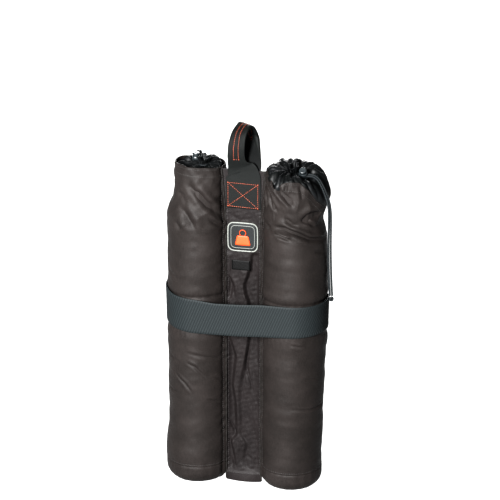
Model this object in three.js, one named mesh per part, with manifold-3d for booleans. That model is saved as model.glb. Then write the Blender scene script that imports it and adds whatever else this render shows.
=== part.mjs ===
// Twin-tube weight bag for a canopy leg, in millimetres, +Z up, front towards -Y.
// Two fabric tubes full of sand stand side by side, joined by a narrow flat web. The pole of the
// canopy stands behind the web, between the tubes, and one wide strap holds tubes and pole together.
// The origin is on the floor, midway between the tubes.
import * as THREE from "three";
import { mergeVertices } from "three/addons/utils/BufferGeometryUtils.js";
import Module from "manifold-3d";

const wasm = await Module();
wasm.setup();

// Driving dimensions.
const TUBE_R = 45; // outer radius of a filled tube
const TUBE_X = 69.5; // distance of each tube's axis from the middle
const FABRIC = 1.2; // thickness of the coated tube fabric with its seams
const GAP = 0.3; // clearance between pieces that touch
const BASE_ROUND = 18; // rounding where a tube's side turns under
const BASE_SEAM_Z = 29; // height of the seam between base panel and sleeve
const SAND_TOP_Z = 403; // top of the sand in both tubes
const NECK_Z = 395; // height where the tubes start to narrow, above the sand
const WEBBING_W = 50.8; // width of the strap and of the handle webbing
const WEBBING_T = 1.6; // thickness of the webbing
const PILE_T = 1; // thickness of a hook or loop patch
const STRAP_Z = 265.5; // middle height of the strap
const WEB_FRONT_Y = -14.2; // front face of the web
const WEB_T = 1.2; // thickness of one layer of the web
const WEB_TOP_Z = 480;
const WEB_BOTTOM_Z = 1;
const CORD_D = 3; // drawcord diameter
const STRAND_OFFSET = 1.7; // half the distance between the two strands of a drawcord
const GRIP_W = 27; // width of the handle webbing where it is folded in half
const LATHE_STEPS = 36;

// Neck radius by height, for each tube, above the straight part.
const LEFT_NECK = [[45, NECK_Z], [43.2, 420], [39.8, 440], [37.2, 460], [34.6, 483]];
const RIGHT_NECK = [[45, NECK_Z], [44.6, 420], [43.6, 440], [41, 460], [38.2, 479]];

const FINISH = {
  tubeFabric: { color: 0x4a4543, roughness: 0.78 },
  webFabric: { color: 0x484442, roughness: 0.8 },
  sand: { color: 0xc2a878, roughness: 0.95 },
  nylon: { color: 0x26282b, roughness: 0.5 },
  webbing: { color: 0x474c4e, roughness: 0.85 },
  handleWebbing: { color: 0x303534, roughness: 0.85 },
  cord: { color: 0x24272a, roughness: 0.75 },
  lockPlastic: { color: 0x2b2e30, roughness: 0.45 },
  springSteel: { color: 0x9a9c9f, roughness: 0.35, metalness: 1 },
  badge: { color: 0xf08a45, roughness: 0.6 },
  label: { color: 0x1c1d1f, roughness: 0.7 },
  hookAndLoop: { color: 0x1f2123, roughness: 0.95 },
};
const materials = {};
for (const [name, settings] of Object.entries(FINISH)) {
  materials[name] = new THREE.MeshStandardMaterial({ metalness: 0, ...settings });
}

const bag = new THREE.Group();

function addNode(name, geometry, finish, parent = bag) {
  const mesh = new THREE.Mesh(geometry, materials[finish]);
  mesh.name = name;
  parent.add(mesh);
  return mesh;
}

// ---- helpers for shapes ----

// Points of an arc in a plane, both ends included; angles in degrees.
function arc(cx, cy, r, from, to, steps) {
  const points = [];
  for (let i = 0; i <= steps; i++) {
    const a = THREE.MathUtils.degToRad(from + ((to - from) * i) / steps);
    points.push([cx + r * Math.cos(a), cy + r * Math.sin(a)]);
  }
  return points;
}

// A solid turned about the vertical axis through (x, y), from [radius, height] points that run
// counter-clockwise.
function turned(profile, x, y = 0, steps = LATHE_STEPS) {
  const points = profile.map(([r, z]) => new THREE.Vector2(r, z));
  const geometry = new THREE.LatheGeometry(points, steps);
  geometry.rotateX(Math.PI / 2);
  geometry.translate(x, y, 0);
  return geometry;
}

// A plate with a given outline of [x, z] points, standing in the XZ plane from frontY to frontY + t.
function standingPlate(outline, frontY, t) {
  const shape = new THREE.Shape(outline.map(([x, z]) => new THREE.Vector2(x, z)));
  const geometry = new THREE.ExtrudeGeometry(shape, { depth: t, bevelEnabled: false });
  geometry.rotateX(Math.PI / 2);
  geometry.translate(0, frontY + t, 0);
  return geometry;
}

// A tape standing on edge: its centre line in plan, its thickness, and its lower and upper edge.
function standingTape(line, t, lowZ, highZ) {
  const left = [];
  const right = [];
  line.forEach(([x, y], i) => {
    const [ax, ay] = line[Math.max(i - 1, 0)];
    const [bx, by] = line[Math.min(i + 1, line.length - 1)];
    const length = Math.hypot(bx - ax, by - ay);
    const nx = (-(by - ay) / length) * (t / 2);
    const ny = ((bx - ax) / length) * (t / 2);
    left.push(new THREE.Vector2(x + nx, y + ny));
    right.push(new THREE.Vector2(x - nx, y - ny));
  });
  const shape = new THREE.Shape([...right, ...left.reverse()]);
  const geometry = new THREE.ExtrudeGeometry(shape, { depth: highZ - lowZ, bevelEnabled: false });
  geometry.translate(0, 0, lowZ);
  return geometry;
}

// A round bar along a smooth curve through the points.
function roundBar(points, diameter, steps, sides = 8) {
  const curve = new THREE.CatmullRomCurve3(
    points.map((p) => new THREE.Vector3(...p)), false, "centripetal",
  );
  const section = new THREE.Shape(
    arc(0, 0, diameter / 2, 0, 360, sides).slice(0, -1).map(([x, y]) => new THREE.Vector2(x, y)),
  );
  return new THREE.ExtrudeGeometry(section, { steps, extrudePath: curve, bevelEnabled: false });
}

function toManifold(geometry) {
  const bare = geometry.clone();
  bare.deleteAttribute("normal");
  bare.deleteAttribute("uv");
  const merged = mergeVertices(bare, 1e-4);
  const triVerts = new Uint32Array(merged.index.array);
  const vertProperties = merged.attributes.position.array;
  return new wasm.Manifold(new wasm.Mesh({ numProp: 3, vertProperties, triVerts }));
}

function fromManifold(solid) {
  const mesh = solid.getMesh();
  const geometry = new THREE.BufferGeometry();
  geometry.setAttribute("position", new THREE.BufferAttribute(mesh.vertProperties, 3));
  geometry.setIndex(new THREE.BufferAttribute(mesh.triVerts, 1));
  geometry.computeVertexNormals();
  return geometry;
}

function cut(geometry, tool) {
  return fromManifold(toManifold(geometry).subtract(toManifold(tool)));
}

// Radius of a neck at a height.
function neckRadius(neck, z) {
  if (z <= neck[0][1]) return neck[0][0];
  for (let i = 1; i < neck.length; i++) {
    const [r0, z0] = neck[i - 1];
    const [r1, z1] = neck[i];
    if (z <= z1) return r0 + ((r1 - r0) * (z - z0)) / (z1 - z0);
  }
  return neck[neck.length - 1][0];
}

// ---- the two tubes: base panel, sleeve and sand ----

const FLAT_R = TUBE_R - BASE_ROUND; // radius of the flat that rests on the floor
const INNER_R = TUBE_R - FABRIC;

const basePanelProfile = [
  [0, 0],
  ...arc(FLAT_R, BASE_ROUND, BASE_ROUND, -90, 0, 5),
  [TUBE_R, BASE_SEAM_Z],
  [INNER_R, BASE_SEAM_Z],
  ...arc(FLAT_R, BASE_ROUND, BASE_ROUND - FABRIC, 0, -90, 5),
  [0, FABRIC],
];

const SAND_GAP = 0.5;
const sandProfile = [
  [0, FABRIC + SAND_GAP],
  ...arc(FLAT_R, BASE_ROUND, BASE_ROUND - FABRIC - SAND_GAP, -90, 0, 4),
  [INNER_R - SAND_GAP, SAND_TOP_Z - 18],
  [34, SAND_TOP_Z - 6],
  [18, SAND_TOP_Z - 1],
  [0, SAND_TOP_Z],
];

function sleeveProfile(neck) {
  const outer = [[TUBE_R, BASE_SEAM_Z + GAP], ...neck];
  const inner = outer.map(([r, z]) => [r - FABRIC, z]).reverse();
  return [...outer, ...inner, outer[0]];
}

function addTube(side, x, neck) {
  addNode(side + "_base_panel", turned(basePanelProfile, x), "tubeFabric");
  addNode(side + "_sand_fill", turned(sandProfile, x, 0, 24), "sand");
  return turned(sleeveProfile(neck), x);
}

addNode("left_tube_sleeve", addTube("left", -TUBE_X, LEFT_NECK), "tubeFabric");

// The right sleeve's rim falls away on its outer side, where the gathered collar bulges out.
const RIM_FALL_X = 60; // the rim starts to fall here
const RIM_FALL_DEG = 41;
const RIM_TOP_Z = 479;
const rimCutter = new THREE.BoxGeometry(200, 200, 200);
rimCutter.translate(100, 0, 100);
rimCutter.rotateY(THREE.MathUtils.degToRad(RIM_FALL_DEG));
rimCutter.translate(RIM_FALL_X, 0, RIM_TOP_Z);
const rightSleeve = cut(addTube("right", TUBE_X, RIGHT_NECK), rimCutter);
addNode("right_tube_sleeve", rightSleeve, "tubeFabric");

// ---- gathered nylon collars with the drawcord's ring round each throat ----

const TUFT_R = 4; // the drawn-in throat
const TUFT_HOLE_R = 2.6;
const RING_R = TUFT_R + CORD_D / 2 + GAP; // centre line of the drawcord round the throat
const COLLAR_T = 1.2;

// Upper face of a collar from its edge inwards, as [radius, height].
const LEFT_COLLAR = [[32.8, 480], [28, 471.5], [22, 466], [14, 463], [8, 465]];
const LEFT_TUFT_Z = 488;
const RIGHT_COLLAR = [
  [40.6, 444], [39.2, 455], [35.5, 464], [29, 470.5], [22, 466], [15, 461.5], [8, 463],
];
const RIGHT_TUFT_Z = 480;

function collarProfile(upper, tuftZ) {
  const lower = upper.map(([r, z], i) => (i === 0 ? [r - COLLAR_T, z - 4] : [r - 0.5, z - COLLAR_T]));
  const throatZ = upper[upper.length - 1][1];
  const start = [upper[0][0], upper[0][1] - 4];
  return [
    start,
    ...upper,
    [TUFT_R, throatZ + 2],
    [TUFT_R, tuftZ],
    [TUFT_HOLE_R, tuftZ],
    [TUFT_HOLE_R, throatZ - COLLAR_T],
    ...lower.reverse(),
    start,
  ];
}

function addCollar(side, x, upper, tuftZ, ringZ) {
  addNode(side + "_collar", turned(collarProfile(upper, tuftZ), x, 0, 30), "nylon");
  const section = arc(RING_R, ringZ, CORD_D / 2, 0, 360, 8);
  addNode(side + "_drawcord_ring", turned(section, x, 0, 24), "cord");
}

const RIGHT_CORD_Z = 476; // height of the cord where it passes through its lock
const LEFT_CORD_Z = 480;
addCollar("left", -TUBE_X, LEFT_COLLAR, LEFT_TUFT_Z, LEFT_CORD_Z);
addCollar("right", TUBE_X, RIGHT_COLLAR, RIGHT_TUFT_Z, RIGHT_CORD_Z);

// ---- the web between the tubes: two layers, with a bound seam down each side ----

// Where the front of a tube meets the plane y, as a distance from the middle.
function tubeEdge(neck, z, y) {
  const r = neckRadius(neck, z);
  return TUBE_X - Math.sqrt(r * r - y * y);
}

const SEAM_D = 2;
const SEAM_Y = -15.4;
const SEAM_CLEAR = 1.5; // from the tube's surface to the middle of the seam's bead

function seamX(neck, z) {
  return tubeEdge(neck, z, SEAM_Y) - SEAM_CLEAR;
}

const WEB_EDGE_GAP = 0.6;
const WEB_BACK_Y = WEB_FRONT_Y + 2 * WEB_T + GAP;
const WEB_MOST_HALF_W = 32;

// The web's edge follows the tube beside it, and widens where the neck narrows.
function webEdge(neck, z) {
  return Math.min(tubeEdge(neck, z, WEB_BACK_Y) - WEB_EDGE_GAP, WEB_MOST_HALF_W);
}
const WEB_LEVELS = [WEB_BOTTOM_Z, NECK_Z, 420, 440, 460, WEB_TOP_Z];
const webOutline = [
  ...WEB_LEVELS.map((z) => [webEdge(RIGHT_NECK, z), z]),
  ...WEB_LEVELS.map((z) => [-webEdge(LEFT_NECK, z), z]).reverse(),
];
addNode("web_front_panel", standingPlate(webOutline, WEB_FRONT_Y, WEB_T), "webFabric");

// The rear panel is pressed thinner where the handle's rear patch is sewn over it.
const WEB_REAR_Y = WEB_FRONT_Y + WEB_T + GAP;
const PATCH_LOW_Z = 423;
const PRESSED = 0.4;
const PRESSED_LOW_Z = PATCH_LOW_Z - 1.5;
const pressedSpace = new THREE.BoxGeometry(80, PRESSED, 80);
pressedSpace.translate(0, WEB_REAR_Y + WEB_T - PRESSED / 2, PRESSED_LOW_Z + 40);
const rearPanel = cut(standingPlate(webOutline, WEB_REAR_Y, WEB_T), pressedSpace);
addNode("web_rear_panel", rearPanel, "webFabric");

for (const [side, sign, neck] of [["left", -1, LEFT_NECK], ["right", 1, RIGHT_NECK]]) {
  const points = [4, 200, NECK_Z, 420, 440, 460, 477].map((z) => [sign * seamX(neck, z), SEAM_Y, z]);
  addNode(side + "_web_seam", roundBar(points, SEAM_D, 16, 6), "webFabric");
}

// ---- carry handle: a sewn patch on each face of the web, and the folded grip between them ----

const FRONT_PATCH_TOP_Z = 480;
const REAR_PATCH_TOP_Z = 476.5; // lower, so that the grip can fold back over it
const HALF_WEBBING = WEBBING_W / 2;
const SHOULDER_R = 16; // rounded shoulder where the webbing starts to fold
const SHORT_SHOULDER_R = 6;
function patchOutline(top) {
  return [
    [-HALF_WEBBING, PATCH_LOW_Z],
    [HALF_WEBBING, PATCH_LOW_Z],
    ...arc(HALF_WEBBING - SHOULDER_R, top - SHOULDER_R, SHOULDER_R, 0, 90, 5),
    ...arc(-HALF_WEBBING + SHORT_SHOULDER_R, top - SHORT_SHOULDER_R, SHORT_SHOULDER_R, 90, 180, 3),
  ];
}
const FRONT_PATCH_Y = WEB_FRONT_Y - GAP - WEBBING_T;
const REAR_PATCH_Y = WEB_REAR_Y + WEB_T - PRESSED + GAP;
const frontPatch = standingPlate(patchOutline(FRONT_PATCH_TOP_Z), FRONT_PATCH_Y, WEBBING_T);
const rearPatch = standingPlate(patchOutline(REAR_PATCH_TOP_Z), REAR_PATCH_Y, WEBBING_T);
addNode("handle_front_patch", frontPatch, "handleWebbing");
addNode("handle_rear_patch", rearPatch, "handleWebbing");

// The grip's centre line, from the front patch over the top to the rear patch, and the turn of its
// width about Z in degrees at each point: the loop twists as it stands up.
const GRIP_LINE = [
  [-9.5, -16.2, 484.5], [-9.8, -19.5, 500], [-9, -19, 520], [-5.6, -12, 538], [0.3, 0, 546.5],
  [3.4, 9, 541], [5.4, 13, 527], [6.8, 7, 511], [9, -3.5, 496], [10.6, -10, 484.5],
];
const GRIP_TURN = [0, -4, -12, -28, -40, -38, -30, -18, -6, 0];
const GRIP_T = 2 * WEBBING_T; // the webbing is folded double

function foldedGrip(line, turn, width, thickness, steps) {
  const curve = new THREE.CatmullRomCurve3(line.map((p) => new THREE.Vector3(...p)), false, "centripetal");
  const corners = [];
  for (let i = 0; i <= steps; i++) {
    const t = i / steps;
    const at = t * (turn.length - 1);
    const k = Math.min(Math.floor(at), turn.length - 2);
    const a = THREE.MathUtils.degToRad(turn[k] + (turn[k + 1] - turn[k]) * (at - k));
    const centre = curve.getPoint(t);
    const along = curve.getTangent(t);
    const across = new THREE.Vector3(Math.cos(a), Math.sin(a), 0);
    across.addScaledVector(along, -across.dot(along)).normalize();
    const out = new THREE.Vector3().crossVectors(across, along).normalize();
    for (const [u, v] of [[-1, -1], [1, -1], [1, 1], [-1, 1]]) {
      const corner = centre.clone();
      corner.addScaledVector(across, (u * width) / 2);
      corner.addScaledVector(out, (v * thickness) / 2);
      corners.push(corner.x, corner.y, corner.z);
    }
  }
  const faces = [];
  for (let i = 0; i < steps; i++) {
    for (let j = 0; j < 4; j++) {
      const a = i * 4 + j;
      const b = i * 4 + ((j + 1) % 4);
      faces.push(a, a + 4, b, b, a + 4, b + 4);
    }
  }
  const last = steps * 4;
  faces.push(0, 1, 2, 0, 2, 3, last, last + 2, last + 1, last, last + 3, last + 2);
  const geometry = new THREE.BufferGeometry();
  geometry.setAttribute("position", new THREE.Float32BufferAttribute(corners, 3));
  geometry.setIndex(faces);
  geometry.computeVertexNormals();
  return geometry;
}
addNode("handle_grip", foldedGrip(GRIP_LINE, GRIP_TURN, GRIP_W, GRIP_T, 30), "handleWebbing");

// ---- badge and woven label on the web's front ----

function roundedOutline(cx, cz, w, h, r) {
  return [
    ...arc(cx + w / 2 - r, cz - h / 2 + r, r, -90, 0, 3),
    ...arc(cx + w / 2 - r, cz + h / 2 - r, r, 0, 90, 3),
    ...arc(cx - w / 2 + r, cz + h / 2 - r, r, 90, 180, 3),
    ...arc(cx - w / 2 + r, cz - h / 2 + r, r, 180, 270, 3),
  ];
}
const BADGE_T = 1;
const LABEL_T = 0.6;
const badgeOutline = roundedOutline(-1, 380, 45, 44, 6);
const labelOutline = roundedOutline(-4, 337, 27, 15, 1);
addNode("badge_patch", standingPlate(badgeOutline, WEB_FRONT_Y - GAP - BADGE_T, BADGE_T), "badge");
addNode("woven_label", standingPlate(labelOutline, WEB_FRONT_Y - GAP - LABEL_T, LABEL_T), "label");

// ---- strap round both tubes, closed behind the left tube with hook and loop ----

const STRAP_LOW_Z = STRAP_Z - WEBBING_W / 2;
const STRAP_HIGH_Z = STRAP_Z + WEBBING_W / 2;
const BAND_R = TUBE_R + 0.35 + WEBBING_T / 2; // centre line of each layer round a tube
const LOOP_R = BAND_R + WEBBING_T / 2 + GAP + PILE_T / 2;
const HOOK_R = LOOP_R + PILE_T + GAP;
const TAIL_R = HOOK_R + PILE_T / 2 + GAP + WEBBING_T / 2;
const BAND_START_X = -30; // inner end of the band, behind the left tube
const BAND_END_X = 63;
const TAIL_START_X = 61.4; // the tail swings open about the gap between band and tail
const PILE_INSET = 3; // from the edge of the webbing to the edge of a patch

const bandLine = [
  [BAND_START_X, BAND_R],
  ...arc(-TUBE_X, 0, BAND_R, 90, 270, 24),
  ...arc(TUBE_X, 0, BAND_R, -90, 90, 24),
  [BAND_END_X, BAND_R],
];
addNode("strap_band", standingTape(bandLine, WEBBING_T, STRAP_LOW_Z, STRAP_HIGH_Z), "webbing");

const loopLine = [[BAND_START_X - 2, LOOP_R], ...arc(-TUBE_X, 0, LOOP_R, 90, 135, 7)];
const loopPatch = standingTape(loopLine, PILE_T, STRAP_LOW_Z + PILE_INSET, STRAP_HIGH_Z - PILE_INSET);
addNode("strap_loop_patch", loopPatch, "hookAndLoop");

const tailRise = [[42, BAND_R + 0.6], [15, BAND_R + 2.5], [-2, TAIL_R - 0.5], [-14, TAIL_R]];
const tailLine = [[TAIL_START_X, BAND_R], ...tailRise, ...arc(-TUBE_X, 0, TAIL_R, 90, 128, 6)];
addNode("strap_tail", standingTape(tailLine, WEBBING_T, STRAP_LOW_Z, STRAP_HIGH_Z), "webbing");

const hookLine = [[-24, HOOK_R], ...arc(-TUBE_X, 0, HOOK_R, 90, 126, 6)];
const hookPatch = standingTape(hookLine, PILE_T, STRAP_LOW_Z + PILE_INSET, STRAP_HIGH_Z - PILE_INSET);
addNode("strap_hook_patch", hookPatch, "hookAndLoop");

// ---- cord locks: barrel, spring and press button, squeezed on the drawcord ----

const LOCK_R = 6;
const LOCK_LOW = -8.8; // bottom and top of the barrel, measured from the cord
const LOCK_HIGH = 5.5;
const LOCK_FLOOR = 1.4;
const BUTTON_R = 4.6;
const BUTTON_CAP_R = 5.4;
const BUTTON_GAP = 0.3;
const BUTTON_CAP_H = 1.8;
const PRESS_TRAVEL = 3.2;
const BUTTON_OUT = BUTTON_CAP_H + PRESS_TRAVEL + 0.2; // how far the cap stands out of the barrel
const BUTTON_LOW = -3.7; // bottom of the button's stem
const SPRING_WIRE = 0.7;

// The barrel's axis is its own Z, with its middle, where the cord passes along X, at the origin.
function lockBarrel() {
  const bore = BUTTON_R + BUTTON_GAP;
  const cup = turned([
    [0, LOCK_LOW], [LOCK_R - 0.8, LOCK_LOW], [LOCK_R, LOCK_LOW + 0.8], [LOCK_R, LOCK_HIGH - 0.6],
    [LOCK_R - 0.6, LOCK_HIGH], [bore, LOCK_HIGH], [bore, LOCK_LOW + LOCK_FLOOR], [0, LOCK_LOW + LOCK_FLOOR],
  ], 0, 0, 24);
  const slot = new THREE.BoxGeometry(30, 2 * STRAND_OFFSET + CORD_D + 2 * BUTTON_GAP, CORD_D + 2 * BUTTON_GAP);
  return cut(cup, slot);
}

// The button's own slot is taller than the cord by the travel, so pressing it frees the cord.
function lockButton() {
  const low = BUTTON_LOW;
  const high = LOCK_HIGH + BUTTON_OUT;
  const stem = turned([
    [0, low], [BUTTON_R, low], [BUTTON_R, high - BUTTON_CAP_H], [BUTTON_CAP_R, high - BUTTON_CAP_H],
    [BUTTON_CAP_R, high - 0.8], [BUTTON_CAP_R - 1.2, high - 0.2], [0, high],
  ], 0, 0, 24);
  const slotLow = -CORD_D / 2 - BUTTON_GAP;
  const slotHigh = CORD_D / 2 + BUTTON_GAP + PRESS_TRAVEL;
  const slotW = 2 * STRAND_OFFSET + CORD_D + 2 * BUTTON_GAP;
  const slot = new THREE.BoxGeometry(30, slotW, slotHigh - slotLow);
  slot.translate(0, 0, (slotHigh + slotLow) / 2);
  return cut(stem, slot);
}

function lockSpring() {
  const low = LOCK_LOW + LOCK_FLOOR + GAP + SPRING_WIRE / 2;
  const high = BUTTON_LOW - GAP - SPRING_WIRE / 2;
  const turns = 2.5;
  const coilR = 3;
  const points = [];
  const count = 30;
  for (let i = 0; i <= count; i++) {
    const a = (turns * 2 * Math.PI * i) / count;
    points.push([coilR * Math.cos(a), coilR * Math.sin(a), low + ((high - low) * i) / count]);
  }
  return roundBar(points, SPRING_WIRE, 36, 6);
}

function addLock(side, position, turnDeg, tiltDeg) {
  const lock = new THREE.Group();
  lock.position.set(...position);
  lock.rotation.set(THREE.MathUtils.degToRad(tiltDeg), 0, THREE.MathUtils.degToRad(turnDeg), "ZXY");
  addNode(side + "_lock_barrel", lockBarrel(), "lockPlastic", lock);
  addNode(side + "_lock_button", lockButton(), "lockPlastic", lock);
  addNode(side + "_lock_spring", lockSpring(), "springSteel", lock);
  bag.add(lock);
}

const RIGHT_LOCK = [84, -4, RIGHT_CORD_Z];
const RIGHT_LOCK_TILT = 30; // the button leans towards the front
const LEFT_LOCK = [-77, 15, LEFT_CORD_Z];
addLock("right", RIGHT_LOCK, 0, RIGHT_LOCK_TILT);
addLock("left", LEFT_LOCK, 90, 0);

// ---- free drawcord ends: two strands from each throat, through the lock, to one knot ----

// Middle line of the pair of strands. The right pair falls outside the right tube, the left pair
// goes over the back of the rim and falls behind the left tube.
const RIGHT_ROUTE = [
  [77, -4, 476], [84, -4, 476], [92, -4, 476], [99, -4, 475.6], [105.5, -4.6, 471.4], [111.5, -5.6, 462.5],
  [116.5, -6.2, 451.5], [120.4, -6, 440], [122.4, -5.2, 427], [122.8, -4.4, 408], [122.4, -3.6, 385],
  [122.4, -2.8, 360], [122.8, -1.8, 335], [123.6, -0.8, 314], [124.3, 0, 297],
];
const LEFT_ROUTE = [
  [-77, 7.8, 480], [-77, 15, 480], [-77, 22, 480], [-77, 26.8, 481], [-77.2, 30.2, 484.2],
  [-77.4, 34.6, 486.4], [-77.8, 39.4, 484], [-78.2, 42.3, 476], [-78.6, 44.6, 462], [-79, 47.2, 440],
  [-79, 49.2, 415], [-78.6, 50, 390], [-78, 50, 362], [-77.4, 50.4, 336], [-77, 51, 319], [-77, 51.6, 304],
];

// One strand: the middle line moved sideways by an offset whose direction turns steadily from the
// start vector to the end vector.
function strand(route, startSide, endSide) {
  const last = route.length - 1;
  const points = route.map(([x, y, z], i) => {
    const t = THREE.MathUtils.clamp((i - 3) / (last - 4), 0, 1);
    const side = new THREE.Vector3(...startSide).lerp(new THREE.Vector3(...endSide), t);
    side.setLength(STRAND_OFFSET);
    return [x + side.x, y + side.y, z + side.z];
  });
  return roundBar(points, CORD_D, 34);
}

function knot([x, y, z]) {
  const geometry = new THREE.SphereGeometry(1, 12, 8);
  geometry.rotateX(Math.PI / 2);
  geometry.scale(4.2, 4.2, 4.6);
  geometry.translate(x, y, z - 5);
  return geometry;
}

const tilt = THREE.MathUtils.degToRad(RIGHT_LOCK_TILT);
const ACROSS_RIGHT = [0, Math.cos(tilt), Math.sin(tilt)]; // across the right lock's slot
const flip = (v) => v.map((value) => -value);
const ROUTES = [
  ["right", RIGHT_ROUTE, ACROSS_RIGHT, [1, 0.15, 0]],
  ["left", LEFT_ROUTE, [1, 0, 0], [1, 0.1, 0]],
];
for (const [side, route, startSide, endSide] of ROUTES) {
  addNode(side + "_drawcord_a", strand(route, startSide, endSide), "cord");
  addNode(side + "_drawcord_b", strand(route, flip(startSide), flip(endSide)), "cord");
  addNode(side + "_cord_knot", knot(route[route.length - 1]), "cord");
}

export default bag;
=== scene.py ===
# %% [markdown]
# # A twin-tube weight bag
# The real bag is cut from coated polyester and sewn: two sleeves full of sand, a flat web between
# them, two black nylon throats on drawcords, a webbing handle and one wide strap. Cloth could be
# sculpted by hand or simulated. Here each panel is a grid of points worked out by a rule, because a
# rule can be read, measured and changed. The CAD model is the fixed frame that every piece fits.

# %% Load the frame
import math

import bmesh
import bpy
import numpy as np
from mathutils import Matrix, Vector


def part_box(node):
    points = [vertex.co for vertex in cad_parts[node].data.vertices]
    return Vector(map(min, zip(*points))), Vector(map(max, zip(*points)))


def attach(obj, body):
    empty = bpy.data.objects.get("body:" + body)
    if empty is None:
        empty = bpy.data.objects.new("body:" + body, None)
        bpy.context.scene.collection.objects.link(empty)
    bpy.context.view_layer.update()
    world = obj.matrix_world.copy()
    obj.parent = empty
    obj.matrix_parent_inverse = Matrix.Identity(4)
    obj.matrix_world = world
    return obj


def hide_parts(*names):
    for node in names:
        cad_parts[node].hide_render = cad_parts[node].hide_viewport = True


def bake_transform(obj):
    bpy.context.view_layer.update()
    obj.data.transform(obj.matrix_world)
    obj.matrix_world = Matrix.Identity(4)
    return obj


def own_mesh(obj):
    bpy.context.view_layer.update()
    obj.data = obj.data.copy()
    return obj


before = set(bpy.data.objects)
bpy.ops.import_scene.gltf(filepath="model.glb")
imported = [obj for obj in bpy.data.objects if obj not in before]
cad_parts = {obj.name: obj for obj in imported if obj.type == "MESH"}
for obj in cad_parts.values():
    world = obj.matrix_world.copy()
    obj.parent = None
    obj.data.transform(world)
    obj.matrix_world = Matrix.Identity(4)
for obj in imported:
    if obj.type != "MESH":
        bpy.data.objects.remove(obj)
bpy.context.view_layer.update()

MM = 0.001  # every shape below is worked out in millimetres and made in metres

# %% [markdown]
# ## The camera
# A long lens from four metres away flattens a product shot: uprights stay upright. The camera is
# placed by a bearing, a height angle and a distance from a point in the bag, which is easier to
# reason about than three coordinates.

# %% Camera
LOOK_AT = Vector((5.4, 1.3, 355.1)) * MM
BEARING = math.radians(14)
RISE = math.radians(20.3)
DISTANCE = 4.0
outward = Vector((math.sin(BEARING) * math.cos(RISE), -math.cos(BEARING) * math.cos(RISE), math.sin(RISE)))
camera_data = bpy.data.cameras.new("camera")
camera_data.lens = 202.06
camera_data.sensor_width = 36
camera_data.clip_start = 0.1
camera = bpy.data.objects.new("camera", camera_data)
bpy.context.collection.objects.link(camera)
camera.location = LOOK_AT + outward * DISTANCE
camera.rotation_euler = outward.to_track_quat("Z", "Y").to_euler()
bpy.context.scene.camera = camera
bpy.context.scene.view_settings.view_transform = "Standard"
bpy.context.scene.view_settings.look = "High Contrast"
print("camera at", [round(v, 3) for v in camera.location])

# %% [markdown]
# ## Grids, curves and where the panels lie
# Nearly every soft piece is a grid of points: rows along one direction, columns along the other.
# One helper turns such a grid into a mesh with a UV map in metres, so that weaves and ribs can
# later follow the cloth. It can close the columns into a ring, and the rows into a second ring.

# %% Grid helper
def smooth_shade(mesh):
    mesh.polygons.foreach_set("use_smooth", np.ones(len(mesh.polygons), bool))
    mesh.update()


def grid_piece(name, points, uv, ring=False, torus=False, ends=False):
    """A mesh from points[row, column] in mm. uv has one column more than points where ring is true,
    and one row more where torus is true. ends closes a ring's two open ends with a fan."""
    rows, cols = points.shape[:2]
    last_row = rows if torus else rows - 1
    last_col = cols if ring else cols - 1
    i, j = np.meshgrid(np.arange(last_row), np.arange(last_col), indexing="ij")
    i, j = i.ravel(), j.ravel()
    corners = [(i, j), (i, j + 1), (i + 1, j + 1), (i + 1, j)]
    quads = np.stack([(a % rows) * cols + b % cols for a, b in corners], axis=1)
    coordinates = np.stack([uv[a, b] for a, b in corners], axis=1) * MM
    vertices = points.reshape(-1, 3) * MM
    faces = quads.tolist()
    extra = []
    if ends:
        first = list(range(cols))[::-1]
        last = [(rows - 1) * cols + c for c in range(cols)]
        faces += [first, last]
        extra = [uv[0, c] * MM for c in first] + [uv[rows - 1, c % cols] * MM for c in range(cols)]
    mesh = bpy.data.meshes.new(name)
    mesh.from_pydata(vertices.tolist(), [], faces)
    layer = mesh.uv_layers.new(name="UVMap")
    flat = coordinates.reshape(-1, 2)
    if ends:
        flat = np.concatenate([flat, np.array(extra)])
    layer.data.foreach_set("uv", flat.astype(np.float32).ravel())
    smooth_shade(mesh)
    piece = bpy.data.objects.new(name, mesh)
    bpy.context.collection.objects.link(piece)
    return piece


def face_outwards(piece):
    """Recalculates the normals of a closed mesh."""
    work = bmesh.new()
    work.from_mesh(piece.data)
    bmesh.ops.recalc_face_normals(work, faces=work.faces)
    work.to_mesh(piece.data)
    work.free()


def settle(piece, *modifiers):
    """Adds modifiers given as (type, settings), and turns the result into a plain mesh."""
    for kind, settings in modifiers:
        modifier = piece.modifiers.new(kind.title(), kind)
        for key, value in settings.items():
            setattr(modifier, key, value)
    graph = bpy.context.evaluated_depsgraph_get()
    made = bpy.data.meshes.new_from_object(piece.evaluated_get(graph))
    piece.modifiers.clear()
    piece.data = made
    smooth_shade(made)
    return piece


# %% Curves and random ripples
def table(at, pairs, soften=5.0):
    """Interpolates (place, value) pairs, rounded off over a few millimetres or degrees."""
    places, values = np.array(pairs, float).T
    shifts = np.linspace(-1, 1, 7) * soften * 1.5
    weights = np.exp(-((shifts / soften) ** 2))
    total = sum(w * np.interp(np.asarray(at) + s, places, values) for w, s in zip(weights, shifts))
    return total / weights.sum()


def smoothstep(x, low, high):
    t = np.clip((x - low) / (high - low), 0, 1)
    return t * t * (3 - 2 * t)


def ripples(points, length, seed, stretch=(1, 1, 1), waves=16):
    """A smooth random field of about unit height over points in mm: plane waves in many directions.
    A low stretch along an axis makes the ripples long in that direction."""
    rng = np.random.default_rng(seed)
    total = np.zeros(points.shape[:-1])
    for _ in range(waves):
        direction = rng.normal(size=3)
        direction /= np.linalg.norm(direction)
        k = direction * np.array(stretch) * 2 * np.pi / (length * rng.uniform(0.7, 1.4))
        total += np.sin(points @ k + rng.uniform(0, 2 * np.pi))
    return total / math.sqrt(waves / 2)


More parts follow.
